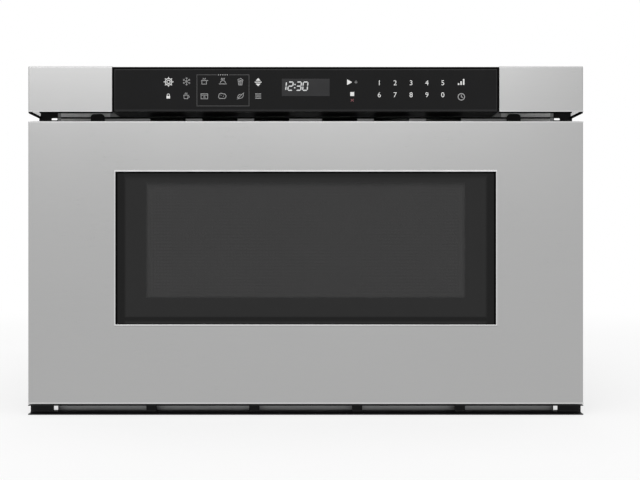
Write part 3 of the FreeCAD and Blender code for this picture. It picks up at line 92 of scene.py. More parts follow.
def remap(tree, value, low, high, to_low, to_high, smooth=False):
    """value moved from low..high to to_low..to_high, and held at both ends."""
    ease = "SMOOTHSTEP" if smooth else "LINEAR"
    made = add(tree, "ShaderNodeMapRange", {0: value, 1: low, 2: high, 3: to_low, 4: to_high},
               interpolation_type=ease)
    return made.outputs[0]


def place(tree):
    """The point in the row frame, in metres, at rest."""
    return add(tree, "ShaderNodeTexCoord").outputs["Object"]


def along(tree, vector, scale):
    """A vector stretched by a scale on each axis."""
    return add(tree, "ShaderNodeVectorMath", {0: vector, 1: scale}, operation="MULTIPLY").outputs[0]


# -------------------------------------------------------------------- patterns

# The part of the raw noise that is spread over 0 to 1
NOISE_SPREAD = (0.3, 0.7)
# How many times longer than wide a brushed line is, and how far sideways a face looks that counts as a side
GRAIN_LENGTH = 60.0
SIDE_FACING = 0.7
# The distance between two ridges of a wave of scale 1, and how uneven ridges are
WAVE_UNIT = math.pi / 10
BAND_WAVER = 0.15
# How many tracks lie round each cell's middle, and where in its step a track's edge rises
TRACKS_PER_CELL = 4.0
TRACK_EDGE = (0.42, 0.58)


def noise(tree, vector, size, detail=3.0, rough=0.5):
    """Soft noise from 0 to 1 with features about size mm across."""
    made = add(tree, "ShaderNodeTexNoise",
               {"Vector": vector, "Scale": 1 / (size * MM), "Detail": detail, "Roughness": rough})
    return remap(tree, made.outputs[0], *NOISE_SPREAD, 0.0, 1.0)


def brushed(tree, size):
    """Grain lines size mm apart. They run left to right, and front to back on the sides."""
    point = place(tree)
    normal = add(tree, "ShaderNodeNewGeometry").outputs["Normal"]
    sideways = add(tree, "ShaderNodeSeparateXYZ", {0: normal}).outputs[0]
    on_side = arithmetic(tree, "GREATER_THAN", arithmetic(tree, "ABSOLUTE", sideways), SIDE_FACING)
    front = noise(tree, along(tree, point, (1 / GRAIN_LENGTH, 1, 1)), size)
    side = noise(tree, along(tree, point, (1, 1 / GRAIN_LENGTH, 1)), size)
    made = add(tree, "ShaderNodeMix", {0: on_side, 2: front, 3: side}, data_type="FLOAT")
    return made.outputs[0]


def grain(tree, size):
    """The fine even grain of a moulded or sprayed surface."""
    return noise(tree, place(tree), size, rough=0.6)


def mottle(tree, size):
    """Wide soft patches, as of handling and dust."""
    return noise(tree, place(tree), size, detail=4.0, rough=0.55)


def spangle(tree, size):
    """The crystals of a galvanised sheet, each of one tone."""
    made = add(tree, "ShaderNodeTexVoronoi", {"Vector": place(tree), "Scale": 1 / (size * MM)})
    return add(tree, "ShaderNodeSeparateColor", {0: made.outputs["Color"]}).outputs[0]


def bands(tree, size, axis):
    """Even ridges size mm apart across an axis."""
    made = add(tree, "ShaderNodeTexWave",
               {"Vector": place(tree), "Scale": WAVE_UNIT / (size * MM), "Distortion": BAND_WAVER,
                "Detail": 1.0}, bands_direction=axis)
    return made.outputs[1]


def plates(tree, size):
    """The edges of stacked sheets."""
    return bands(tree, size, "Y")


def turns(tree, size):
    """The turns of a wound wire."""
    return bands(tree, size, "Z")


def tracks(tree, size):
    """The straight copper tracks under a circuit board's lacquer."""
    made = add(tree, "ShaderNodeTexVoronoi", {"Vector": place(tree), "Scale": 1 / (size * MM)},
               distance="MANHATTAN", feature="F1")
    away = arithmetic(tree, "FRACT", arithmetic(tree, "MULTIPLY", made.outputs[0], TRACKS_PER_CELL))
    return remap(tree, away, *TRACK_EDGE, 0.0, 1.0)


# ------------------------------------------------------------------- materials

# The shader's own sockets that a finish may set to one value all over
SOCKETS = {"specular": "Specular IOR Level", "subsurface": "Subsurface Weight", "alpha": "Alpha",
           "glow_colour": "Emission Color", "glow": "Emission Strength"}


def finish(name, colour, rough, metal=0.0, layers=(), **fixed):
    """A finish of layers over one colour and roughness.

    Each layer is (pattern, size in mm, share of colour, share of roughness, height in mm).
    """
    made = bpy.data.materials.new(name)
    made.use_nodes = True
    tree = made.node_tree
    shader = tree.nodes["Principled BSDF"]
    tone, roughness, normal = 1.0, rough, None
    for pattern, size, in_colour, in_rough, height in layers:
        value = pattern(tree, size)
        if in_colour:
            lighter = remap(tree, value, 0, 1, 1 - in_colour, 1 + in_colour)
            tone = arithmetic(tree, "MULTIPLY", lighter, tone)
        if in_rough:
            rougher = remap(tree, value, 0, 1, -in_rough, in_rough)
            roughness = arithmetic(tree, "ADD", rougher, roughness)
        if height:
            inputs = {"Height": value, "Distance": height * MM, "Strength": 1.0}
            if normal:
                inputs["Normal"] = normal
            normal = add(tree, "ShaderNodeBump", inputs).outputs[0]
    painted = add(tree, "ShaderNodeVectorMath", {0: colour, "Scale": tone}, operation="SCALE")
    tree.links.new(painted.outputs[0], shader.inputs["Base Color"])
    tree.links.new(roughness, shader.inputs["Roughness"])
    if normal:
        tree.links.new(normal, shader.inputs["Normal"])
    shader.inputs["Metallic"].default_value = metal
    for key, value in fixed.items():
        shader.inputs[SOCKETS[key]].default_value = value
    made.diffuse_color = (*colour, 1)
    return made


INK_LAYERS = ((grain, 0.3, 0.05, 0.04, 0), (mottle, 5, 0.04, 0.03, 0))

FINISHES = {
    "stainless": dict(colour=(0.408, 0.408, 0.407), rough=0.3, metal=1.0, layers=(
        (brushed, 0.25, 0.012, 0.02, 0.0003), (brushed, 1.6, 0.003, 0.008, 0),
        (mottle, 110, 0.004, 0.01, 0))),
    "polished_edge": dict(colour=(0.6, 0.6, 0.6), rough=0.16, metal=1.0, layers=(
        (brushed, 0.3, 0.03, 0.03, 0), (mottle, 20, 0.01, 0.02, 0))),
    # Lighter than the stainless, as painted highlights on the folded edges
    "edge_highlight_metal": dict(colour=(0.56, 0.56, 0.56), rough=0.34, metal=1.0, layers=(
        (brushed, 0.3, 0.02, 0.03, 0), (mottle, 30, 0.01, 0.02, 0))),
    # Pale, as painted light on the frame plate under the trims
    "painted_light_pale": dict(colour=(0.88, 0.88, 0.87), rough=0.6, layers=(
        (grain, 1.2, 0.05, 0.05, 0.006), (mottle, 18, 0.08, 0.05, 0))),
    # Lighter than the black glass, as painted highlights on the glass's bevels
    "bevel_highlight_glass": dict(colour=(0.0105, 0.0105, 0.0108), rough=0.2, layers=(
        (mottle, 45, 0.1, 0.02, 0), (grain, 3, 0.06, 0.02, 0.0005)), specular=0.2),
    "zinc_plated_steel": dict(colour=(0.39, 0.392, 0.394), rough=0.42, metal=0.9, layers=(
        (spangle, 7.0, 0.06, 0.05, 0), (grain, 1.2, 0.03, 0.04, 0.003), (mottle, 70, 0.04, 0.05, 0))),
    "black_painted_steel": dict(colour=(0.006, 0.006, 0.0065), rough=0.42, layers=(
        (grain, 1.6, 0.12, 0.04, 0.006), (mottle, 60, 0.15, 0.05, 0)), specular=0.14),
    "cavity_enamel": dict(colour=(0.4, 0.4, 0.39), rough=0.28, layers=(
        (grain, 2.4, 0.03, 0.03, 0.006), (mottle, 55, 0.03, 0.04, 0))),
    "rail_steel": dict(colour=(0.55, 0.55, 0.56), rough=0.3, metal=1.0, layers=(
        (brushed, 0.6, 0.06, 0.05, 0.002), (mottle, 30, 0.08, 0.08, 0))),
    "bearing_steel": dict(colour=(0.72, 0.72, 0.73), rough=0.12, metal=1.0, layers=(
        (mottle, 4.0, 0.06, 0.05, 0),)),
    "shaft_steel": dict(colour=(0.55, 0.55, 0.56), rough=0.26, metal=1.0, layers=(
        (grain, 0.5, 0.05, 0.05, 0.001), (mottle, 25, 0.08, 0.08, 0))),
    "screw_steel": dict(colour=(0.58, 0.58, 0.57), rough=0.3, metal=1.0, layers=(
        (grain, 0.7, 0.08, 0.06, 0.002), (mottle, 8, 0.1, 0.06, 0))),
    "black_glass": dict(colour=(0.0022, 0.0022, 0.0024), rough=0.055, layers=(
        (mottle, 45, 0.2, 0.02, 0), (grain, 12, 0.1, 0.008, 0.0005)), specular=0.18),
    "display_filter": dict(colour=(0.022, 0.022, 0.023), rough=0.16, layers=(
        (mottle, 14, 0.04, 0.03, 0), (grain, 0.4, 0.05, 0.02, 0.0005)), specular=0.2),
    "white_ceramic_glass": dict(colour=(0.74, 0.74, 0.72), rough=0.2, layers=(
        (grain, 2.0, 0.015, 0.03, 0.002), (mottle, 40, 0.015, 0.04, 0))),
    "shield_plate": dict(colour=(0.05, 0.05, 0.051), rough=0.5, layers=(
        (grain, 0.8, 0.08, 0.05, 0.003), (mottle, 30, 0.05, 0.05, 0))),
    "black_plastic": dict(colour=(0.008, 0.008, 0.0085), rough=0.5, layers=(
        (grain, 0.7, 0.15, 0.05, 0.012), (mottle, 35, 0.12, 0.06, 0)), specular=0.2),
    "grey_plastic": dict(colour=(0.36, 0.36, 0.355), rough=0.45, layers=(
        (grain, 0.7, 0.05, 0.05, 0.01), (mottle, 30, 0.04, 0.05, 0))),
    "natural_nylon": dict(colour=(0.66, 0.64, 0.57), rough=0.4, layers=(
        (grain, 0.6, 0.03, 0.05, 0.006), (mottle, 10, 0.05, 0.06, 0)), subsurface=0.1),
    "rubber": dict(colour=(0.014, 0.014, 0.014), rough=0.68, layers=(
        (grain, 0.5, 0.15, 0.06, 0.01), (mottle, 6, 0.25, 0.07, 0)), specular=0.3),
    "matt_black": dict(colour=(0.003, 0.003, 0.003), rough=0.75, layers=(
        (grain, 0.6, 0.15, 0.05, 0.006), (mottle, 9, 0.2, 0.06, 0)), specular=0.01),
    # Glows as painted light, though the liner is no lamp
    "glowing_white_liner": dict(colour=(0.93, 0.93, 0.93), rough=0.6, layers=(
        (grain, 0.8, 0.03, 0.05, 0.006), (mottle, 20, 0.04, 0.05, 0)),
        glow_colour=(1, 1, 1, 1), glow=0.45),
    "mica": dict(colour=(0.5, 0.42, 0.32), rough=0.36, layers=(
        (spangle, 5.0, 0.12, 0.08, 0.01), (grain, 0.8, 0.08, 0.05, 0.01), (mottle, 25, 0.08, 0.05, 0))),
    "aluminium": dict(colour=(0.68, 0.68, 0.69), rough=0.34, metal=1.0, layers=(
        (brushed, 0.5, 0.05, 0.06, 0.002), (mottle, 20, 0.06, 0.06, 0))),
    "electrical_steel": dict(colour=(0.15, 0.15, 0.16), rough=0.45, metal=0.7, layers=(
        (plates, 0.5, 0.3, 0.08, 0.06), (mottle, 12, 0.15, 0.08, 0))),
    "copper_windings": dict(colour=(0.52, 0.2, 0.08), rough=0.3, metal=0.8, layers=(
        (turns, 0.9, 0.3, 0.05, 0.2), (mottle, 9, 0.15, 0.08, 0))),
    "bronze": dict(colour=(0.52, 0.35, 0.17), rough=0.38, metal=1.0, layers=(
        (grain, 0.4, 0.12, 0.08, 0.006), (mottle, 6, 0.12, 0.06, 0))),
    "motor_can": dict(colour=(0.36, 0.36, 0.35), rough=0.38, metal=0.9, layers=(
        (grain, 0.8, 0.06, 0.05, 0.003), (mottle, 14, 0.1, 0.08, 0))),
    "circuit_board": dict(colour=(0.02, 0.12, 0.05), rough=0.28, layers=(
        (tracks, 9.0, 0.35, 0.05, 0.035), (grain, 0.9, 0.06, 0.04, 0.003), (mottle, 30, 0.08, 0.05, 0))),
    "red_plastic": dict(colour=(0.42, 0.025, 0.018), rough=0.36, layers=(
        (grain, 0.5, 0.06, 0.05, 0.006), (mottle, 6, 0.08, 0.05, 0))),
    "clear_glass": dict(colour=(0.55, 0.6, 0.59), rough=0.05, layers=(
        (mottle, 30, 0.06, 0.02, 0), (grain, 10, 0.03, 0.006, 0.0004)), alpha=0.16),
    "bright_ink": dict(colour=(0.72, 0.72, 0.71), rough=0.5, layers=INK_LAYERS),
    "grey_ink": dict(colour=(0.3, 0.3, 0.3), rough=0.5, layers=INK_LAYERS),
    "dim_ink": dict(colour=(0.05, 0.05, 0.05), rough=0.5, layers=INK_LAYERS),
    "red_ink": dict(colour=(0.3, 0.09, 0.1), rough=0.5, layers=INK_LAYERS),
    "segment_light": dict(colour=(0.62, 0.63, 0.63), rough=0.4, layers=(
        (grain, 0.4, 0.06, 0.04, 0), (mottle, 4, 0.03, 0.03, 0))),
}
materials = {name: finish(name, **spec) for name, spec in FINISHES.items()}

# The black print round the window, with painted light and shade. From each seen edge of the glass it fades
# inwards in steps, each (start in mm, end in mm, rise in the share of light sent back). The rises paint the
# look of the lit retainer and screen behind the glass, the soft steps at the top paint the deep recess's
# shade, and the glass is lighter along its low edge.
PRINT_EDGES = (207.0, 99.2, 265.0)  # beside the middle, lowest and highest, in mm
GLASS_BASE = 0.0012
LOW_EDGE_RISE = 0.014
SIDE_STEPS = ((7.5, 11.5, 0.012), (31.5, 35.5, 0.031))
TOP_STEPS = ((0.0, 1.0, 0.003), (2.0, 10.0, 0.009), (9.0, 19.0, 0.031))
LOW_STEPS = ((0.0, 4.5, -LOW_EDGE_RISE), (6.5, 9.0, 0.012), (27.5, 31.0, 0.031))
MIDDLE_COVER = 0.75
PRINT_LAYERS = ((mottle, 60, 0.02, 0.02, 0), (grain, 14, 0.01, 0.006, 0.0005))


def printed_glass_with_painted_light(name):
    """Dark tinted glass with a black border printed round it, and painted light and shade stepping inwards.
    """
    made = finish(name, (1.0, 1.0, 1.0), 0.06, layers=PRINT_LAYERS, specular=0.2)
    tree = made.node_tree
    shader = tree.nodes["Principled BSDF"]
    across, _, up = add(tree, "ShaderNodeSeparateXYZ", {0: place(tree)}).outputs
    side, low, high = (edge * MM for edge in PRINT_EDGES)
    from_side = arithmetic(tree, "SUBTRACT", side, arithmetic(tree, "ABSOLUTE", across))
    from_low = arithmetic(tree, "SUBTRACT", up, low)
    from_high = arithmetic(tree, "SUBTRACT", high, up)
    borders = ((from_side, GLASS_BASE, SIDE_STEPS), (from_high, GLASS_BASE, TOP_STEPS),
               (from_low, GLASS_BASE + LOW_EDGE_RISE, LOW_STEPS))
    shade, cover = None, None
    for inwards, rise, steps in borders:
        for start, end, amount in steps:
            step = remap(tree, inwards, start * MM, end * MM, 0.0, amount, True)
            rise = arithmetic(tree, "ADD", step, rise)
        start, end, _ = steps[-1]
        over = remap(tree, inwards, start * MM, end * MM, 1.0, MIDDLE_COVER, True)
        shade = arithmetic(tree, "MINIMUM", rise, shade) if shade else rise
        cover = arithmetic(tree, "MAXIMUM", over, cover) if cover else over
    tint = add(tree, "ShaderNodeCombineColor", {0: shade, 1: shade, 2: shade}).outputs[0]
    plain = shader.inputs["Base Color"].links[0].from_socket
    toned = add(tree, "ShaderNodeVectorMath", {0: plain, 1: tint}, operation="MULTIPLY").outputs[0]
    tree.links.new(toned, shader.inputs["Base Color"])
    tree.links.new(cover, shader.inputs["Alpha"])
    return made


materials["window_glass"] = printed_glass_with_painted_light("window_glass")

for part in frame["record"]["subparts"]:
    data = frame["nodes"][part["node"]].data
    data.materials.clear()
    data.materials.append(materials[part["material_slot"]])


# ---------------------------------------------------------------- mesh helpers

# The least cosine that a mitre divides by, so that a sharp corner stays short
MITRE_LEAST = 0.35
# The share of a bar's smaller side that its broken edges take
EDGE_BREAK = 0.3


def joined(parts):
    """One list of points and one of faces from several such pairs."""
    points, faces = [], []
    for some, their in parts:
        faces += [[i + len(points) for i in face] for face in their]
        points += some
    return points, faces


def piece(name, parts, material, body, replaced=()):
    """One mesh piece of the object, from pairs of points and faces, that rides on a body."""
    points, faces = joined(parts)
    mesh = bpy.data.meshes.new(name)
    mesh.from_pydata(points, [], faces)
    mesh.validate()
    mesh.update()
    made = bpy.data.objects.new(name, mesh)
    bpy.context.scene.collection.objects.link(made)
    mesh.materials.append(materials[material])
    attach(made, body)
    if replaced:
        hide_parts(*replaced)


def plate(outline, front, back):
    """A thin closed plate with an outline of (x, z) points. front and back are Y."""
    count = len(outline)
    area = sum(outline[i - 1][0] * outline[i][1] - outline[i][0] * outline[i - 1][1] for i in range(count))
    turned = outline if area > 0 else outline[::-1]
    points = [(x, y, z) for y in (front, back) for x, z in turned]
    sides = [[i, (i - 1) % count, count + (i - 1) % count, count + i] for i in range(count)]
    return points, [list(range(count)), list(range(count, 2 * count))[::-1], *sides]


def ribbon(line, width, front, back):
    """A drawn line of one width as a thin closed strip with mitred corners.

    It closes if it ends where it starts.
    """
    closed = math.dist(line[0], line[-1]) < width * 0.01
    stations = line[:-1] if closed else line
    count = len(stations)
    points = []
    for i, (x, z) in enumerate(stations):
        before = stations[i - 1] if closed or i else None
        after = stations[(i + 1) % count] if closed or i < count - 1 else None
        ways = []
        for a, b in ((before, (x, z)), ((x, z), after)):
            if a and b:
                reach = math.dist(a, b)
                ways.append(((b[0] - a[0]) / reach, (b[1] - a[1]) / reach))
        wx, wz = sum(w[0] for w in ways), sum(w[1] for w in ways)
        size = math.hypot(wx, wz)
        lean = max(MITRE_LEAST, size / len(ways))
        ox, oz = -wz / size / lean * width / 2, wx / size / lean * width / 2
        points += [(x + ox, front, z + oz), (x - ox, front, z - oz),
                   (x - ox, back, z - oz), (x + ox, back, z + oz)]
    faces = []
    for i in range(count if closed else count - 1):
        a, b = 4 * i, 4 * ((i + 1) % count)
        faces += [[a + (k + 1) % 4, b + (k + 1) % 4, b + k, a + k] for k in range(4)]
    if not closed:
        faces += [[0, 1, 2, 3], [4 * count - 1, 4 * count - 2, 4 * count - 3, 4 * count - 4]]
    return points, faces


def at_depth(depth):
    """The Y at a depth in mm behind the front face."""
    return FRONT + depth * MM


def bar(x, depth, z):
    """A closed bar with its long front edges broken. Each size is (from, to) in mm."""
    x0, x1 = (edge * MM for edge in x)
    y0, y1 = (at_depth(edge) for edge in depth)
    z0, z1 = (edge * MM for edge in z)
    cut = min(y1 - y0, z1 - z0) * EDGE_BREAK
    profile = [(y0 + cut, z0), (y1, z0), (y1, z1), (y0 + cut, z1), (y0, z1 - cut), (y0, z0 + cut)]
    count = len(profile)
    points = [(end, y, z) for end in (x0, x1) for y, z in profile]
    faces = [list(range(count))[::-1], [count + i for i in range(count)]]
    faces += [[i, (i + 1) % count, count + (i + 1) % count, count + i] for i in range(count)]
    return points, faces


def mirrored_bars(x, depth, z):
    """A bar on the right and its mirror image on the left."""
    return [bar(x, depth, z), bar((-x[1], -x[0]), depth, z)]


def ring(box, stations):
    """A closed ring round a box's front. Each station of its section is (margins, depth) in mm.

    The margins are how far it lies outside the box at the sides, below and above.
    """
    points = []
    for (side, low, high), depth in stations:
        x0, x1 = box[0].x - side * MM, box[1].x + side * MM
        z0, z1 = box[0].z - low * MM, box[1].z + high * MM
        points += [(x, at_depth(depth), z) for x, z in ((x0, z0), (x1, z0), (x1, z1), (x0, z1))]
    faces = []
    for station in range(len(stations)):
        a, b = 4 * station, 4 * ((station + 1) % len(stations))
        faces += [[a + k, a + (k + 1) % 4, b + (k + 1) % 4, b + k] for k in range(4)]
    return points, faces


# --------------------------------------------------------------------- legends

INK_LIFT = 0.02 * MM
INK_THICKNESS = 0.04 * MM
INK_BACK = PANEL[0].y - INK_LIFT
INK_FRONT = INK_BACK - INK_THICKNESS
CIRCLE_STEPS = 20
ARC_STEPS_LEAST = 4


def arc(x, z, radius, start=0.0, end=360.0):
    """Points along an arc, in degrees."""
    steps = max(ARC_STEPS_LEAST, round(CIRCLE_STEPS * abs(end - start) / 360))
    angles = [math.radians(start + (end - start) * i / steps) for i in range(steps + 1)]
    return [(x + radius * math.cos(t), z + radius * math.sin(t)) for t in angles]


def spoke(angle, inner, outer):
    """A short line out of the middle of an icon."""
    c, s = math.cos(math.radians(angle)), math.sin(math.radians(angle))
    return [(inner * c, inner * s), (outer * c, outer * s)]


def steam(x, low):
    """One wavy line that rises from low."""
    return [(x, low), (x - 0.8, low + 1.4), (x + 0.8, low + 3.2), (x, low + 4.6)]


def snow_arm(angle):
    """One arm of a snowflake with its two twigs."""
    found = [spoke(angle, 0.5, 8.5)]
    middle = spoke(angle, 0, 5.4)[1]
    for turn in (-50, 50):
        tip = spoke(angle + turn, 0, 2.8)[1]
        found.append([middle, (middle[0] + tip[0], middle[1] + tip[1])])
    return found


def block(left, right, low, high):
    """A filled rectangle."""
    return [(left, high), (right, high), (right, low), (left, low)]


# Each icon is drawn about its middle and is about 18 units across: lines, then filled outlines.
ICONS = {
    "gear": ([arc(0, 0, 3.2), arc(0, 0, 6.3), *(spoke(a, 7.2, 9.4) for a in range(0, 360, 45))], []),
    "padlock": ([[(-4, 1), *arc(0, 4.2, 4, 180, 0), (4, 1)]], [block(-6.2, 6.2, -8, 1)]),
    "snow": ([line for a in range(30, 390, 60) for line in snow_arm(a)], []),
    "cup": ([[(-6, 2), (-5, -7), (4, -7), (5, 2), (-6, 2)], arc(5, -2.2, 3, -75, 80),
             steam(-2.2, 4), steam(1.6, 4)], []),
    "pan": ([[(-7, 2), (-7, -6.5), (5, -6.5), (5, 2)], [(-9, 2.6), (9.5, 2.6)],
             steam(-3.2, 4.6), steam(1.2, 4.6)], []),
    "plate": ([[(-9, -5), (9, -5)], arc(0, -3, 6, 0, 180),
               steam(-3.2, 4.4), steam(0, 4.4), steam(3.2, 4.4)], []),
    "popcorn": ([[(-5.5, 1), (-4, -8.5), (4, -8.5), (5.5, 1), (-5.5, 1)],
                 arc(-3.6, 4, 2.4), arc(0.8, 5.4, 2.6), arc(4.9, 3.2, 1.7),
                 [(-1.6, 0), (-1.2, -7.6)], [(1.6, 0), (1.2, -7.6)]], []),
    "box": ([[*block(-8, 8, -7, 5), (-8, 5)], [(-8, 1.6), (8, 1.6)],
             [(-3, -2.7), (3, -2.7)], [(0, -5.2), (0, -0.4)]], []),
    "potato": ([[(-8.5, -1), *arc(-3, 0.5, 5.2, 140, 60), *arc(3.2, -1.2, 5.6, 80, -80),
                 *arc(-4, -2, 4.8, -70, -170), (-8.5, -1)],
                [(-3.6, 1), (-2.4, 1.6)], [(1.6, -2.4), (3, -1.8)], [(3.6, 1.4), (4.8, 1)]], []),
    "leaf": ([[(-7.5, -7), *arc(1.5, -3.5, 8.2, 170, 70), (8.5, 8), *arc(-0.5, 2.6, 8.2, 20, -70),
               (-7.5, -7)], [(-7.5, -7), (4.6, 4.4)]], []),
    "open_close": ([[(-7, 0), (7, 0)]],
                   [[(-5.2, 3), (5.2, 3), (0, 8.6)], [(-5.2, -3), (5.2, -3), (0, -8.6)]]),
    "menu": ([[(-7, 5), (7, 5)], [(-7, 0), (7, 0)], [(-7, -5), (7, -5)]], []),
    "start": ([], [[(-5.6, 7.5), (-5.6, -7.5), (7.4, 0)]]),
    "plus": ([[(-6, 0), (6, 0)], [(0, -6), (0, 6)]], []),
    "stop": ([], [block(-6, 6, -6, 6)]),
    "clear": ([[(-6, -5), (6, 5)], [(-6, 5), (6, -5)]], []),
    "level": ([], [block(x, x + 3.4, -7, top) for x, top in ((-8, -3), (-2, 1.5), (4, 7))]),
    "clock": ([arc(0, 0, 7.6), [(0, 5), (0, 0), (3.6, -2.2)]], []),
}
ICON_UNITS = 18.0
THICK_LINE = 1.9
THIN_LINE = 1.35
FINE_LINE = 1.0

# icon, ink, line, middle x and z, width, all in mm
KEYS = (
    ("gear", "bright_ink", THIN_LINE, -149.8, 363.7, 10.2),
    ("padlock", "bright_ink", THICK_LINE, -150.1, 348.0, 5.6),
    ("snow", "grey_ink", FINE_LINE, -130.1, 364.2, 9.4),
    ("cup", "grey_ink", THIN_LINE, -130.6, 348.3, 7.6),
    ("pan", "grey_ink", THIN_LINE, -110.5, 364.0, 7.6),
    ("plate", "grey_ink", THIN_LINE, -90.5, 363.8, 8.4),
    ("popcorn", "grey_ink", THIN_LINE, -71.4, 364.0, 7.8),
    ("box", "grey_ink", THIN_LINE, -110.7, 348.4, 8.2),
    ("potato", "grey_ink", THIN_LINE, -91.1, 348.6, 8.4),
    ("leaf", "grey_ink", THIN_LINE, -71.4, 348.2, 7.8),
    ("open_close", "bright_ink", THICK_LINE, -51.9, 363.4, 9.4),
    ("menu", "grey_ink", THICK_LINE, -51.9, 348.2, 8.2),
    ("start", "bright_ink", THICK_LINE, 47.6, 363.4, 7.6),
    ("plus", "grey_ink", THICK_LINE, 55.0, 363.4, 5.0),
    ("stop", "bright_ink", THICK_LINE, 50.8, 350.4, 6.4),
    ("clear", "red_ink", THICK_LINE, 50.8, 343.6, 4.6),
    ("level", "bright_ink", THICK_LINE, 169.9, 363.6, 8.4),
    ("clock", "grey_ink", THICK_LINE, 170.0, 347.4, 8.4),
)
DIGIT_HEIGHT = 5.4
DIGIT_COLUMNS = (80.4, 97.7, 115.1, 132.4, 149.7)
DIGIT_ROWS = ((362.7, "12345"), (349.6, "67890"))

# The box round a group of keys in mm: its edges (left, right, low, high), and the middle and width of the
# gap in its top for a row of dots
GROUP_BOX = (-118.8, -61.9, 337.4, 371.4)
GROUP_LINE = 0.55
GROUP_MARK = (-90.5, 13.5)
DOT_PITCH = 2.4
DOT_RADIUS = 0.62
DOTS = (-2, -1, 0, 1, 2)


def icon_parts(name, line_width, x, z, width):
    """The strips and plates of one key's icon, in place on the control glass."""
    unit = width / ICON_UNITS * MM
    lines, fills = ([[(x * MM + px * unit, z * MM + pz * unit) for px, pz in shape] for shape in shapes]
                    for shapes in ICONS[name])
    return [*(ribbon(line, line_width * unit, INK_FRONT, INK_BACK) for line in lines),
            *(plate(fill, INK_FRONT, INK_BACK) for fill in fills)]


def digit_parts(digit, x, z, height):
    """A printed digit as a thin closed plate, with its middle at x and z."""
    curve = bpy.data.curves.new("digit", "FONT")
    curve.body = digit
    curve.extrude = INK_THICKNESS / 2
    holder = bpy.data.objects.new("digit", curve)
    bpy.context.scene.collection.objects.link(holder)
    bpy.context.view_layer.update()
    mesh = bpy.data.meshes.new_from_object(holder.evaluated_get(bpy.context.evaluated_depsgraph_get()))
    flat = [v.co.copy() for v in mesh.vertices]
    faces = [list(p.vertices) for p in mesh.polygons]
    bpy.data.objects.remove(holder)
    bpy.data.meshes.remove(mesh)
    bpy.data.curves.remove(curve)
    left, right = min(v.x for v in flat), max(v.x for v in flat)
    low, high = min(v.y for v in flat), max(v.y for v in flat)
    size = height * MM / (high - low)
    middle = (INK_FRONT + INK_BACK) / 2
    points = [(x * MM + (v.x - (left + right) / 2) * size, middle - v.z,
               z * MM + (v.y - (low + high) / 2) * size) for v in flat]
    return points, faces


def group_parts():
    """The line round the group of keys, open at its top."""
    left, right, low, high = (edge * MM for edge in GROUP_BOX)
    middle, gap = (size * MM for size in GROUP_MARK)
    line = [(middle - gap / 2, high), (left, high), (left, low), (right, low), (right, high),
            (middle + gap / 2, high)]
    return ribbon(line, GROUP_LINE * MM, INK_FRONT, INK_BACK)


def dot_parts(dot):
    """One of the dots in the gap of the group's line."""
    outline = arc((GROUP_MARK[0] + dot * DOT_PITCH) * MM, GROUP_BOX[3] * MM, DOT_RADIUS * MM)[:-1]
    return plate(outline, INK_FRONT, INK_BACK)


inks = {"bright_ink": [], "grey_ink": [], "dim_ink": [], "red_ink": []}
for icon, ink, line_width, key_x, key_z, key_width in KEYS:
    inks[ink] += icon_parts(icon, line_width, key_x, key_z, key_width)
for row_z, digits in DIGIT_ROWS:
    for column_x, digit in zip(DIGIT_COLUMNS, digits):
        inks["bright_ink"].append(digit_parts(digit, column_x, row_z, DIGIT_HEIGHT))
inks["dim_ink"].append(group_parts())
inks["grey_ink"] += [dot_parts(dot) for dot in DOTS]
for ink, drawn in inks.items():
    piece(f"key_legends_{ink}", drawn, ink, "cabinet")


# --------------------------------------------------------------------- display

# Sizes are in mm. Each digit of the clock has its lit segments by letter and the x of its left side.
CELL = (5.0, 9.1)
DISPLAY_LOW = 354.5
SLANT = 0.1
SEGMENT_WIDTH = 1.25
SEGMENT_GAP = 0.22
SHOWN = (("bc", -26.9), ("abged", -19.5), ("abgcd", -10.5), ("abcdef", -3.4))
COLON_X = -12.3
COLON_RADIUS = 0.75
COLON_SHARES = (0.3, 0.7)


def segment(a, b):
    """A six-sided bar from a to b, short of both by the gap."""
    reach = math.dist(a, b)
    ux, uz = (b[0] - a[0]) / reach, (b[1] - a[1]) / reach
    half, gap = SEGMENT_WIDTH / 2, SEGMENT_GAP
    stations = ((gap, 0), (gap + half, half), (reach - gap - half, half), (reach - gap, 0),
                (reach - gap - half, -half), (gap + half, -half))
    return [(a[0] + ux * s - uz * o, a[1] + uz * s + ux * o) for s, o in stations]


def display_parts():
    """The lit segments of the clock."""
    wide, high = CELL
    middle = high / 2
    ends = {"a": ((0, high), (wide, high)), "b": ((wide, high), (wide, middle)),
            "c": ((wide, middle), (wide, 0)), "d": ((0, 0), (wide, 0)), "e": ((0, middle), (0, 0)),
            "f": ((0, high), (0, middle)), "g": ((0, middle), (wide, middle))}
    outlines = [[(left + x, z) for x, z in segment(*ends[name])] for names, left in SHOWN for name in names]
    outlines += [arc(COLON_X, high * share, COLON_RADIUS)[:-1] for share in COLON_SHARES]
    leaning = [[((x + SLANT * z) * MM, (DISPLAY_LOW + z) * MM) for x, z in outline] for outline in outlines]
    front = (PANEL[0].y + LENS[0].y) / 2 - INK_THICKNESS / 2
    return [plate(outline, front, front + INK_THICKNESS) for outline in leaning]


piece("clock_segments", display_parts(), "segment_light", "cabinet")


# ----------------------------------------------- seals, bead, painted highlights, glowing liners and painted shade

# Places in mm: x from the middle, depth behind the front face, z above the base
TRIM_INNER = 211.4
TRIM_OUTER = 303.2
TRIM_LOW = 331.1
PANEL_SIDE, PANEL_LOW, PANEL_HIGH = PANEL[1].x / MM, PANEL[0].z / MM, PANEL[1].z / MM
SKIN_LOW, SKIN_HIGH = SKIN[0].z / MM, SKIN[1].z / MM
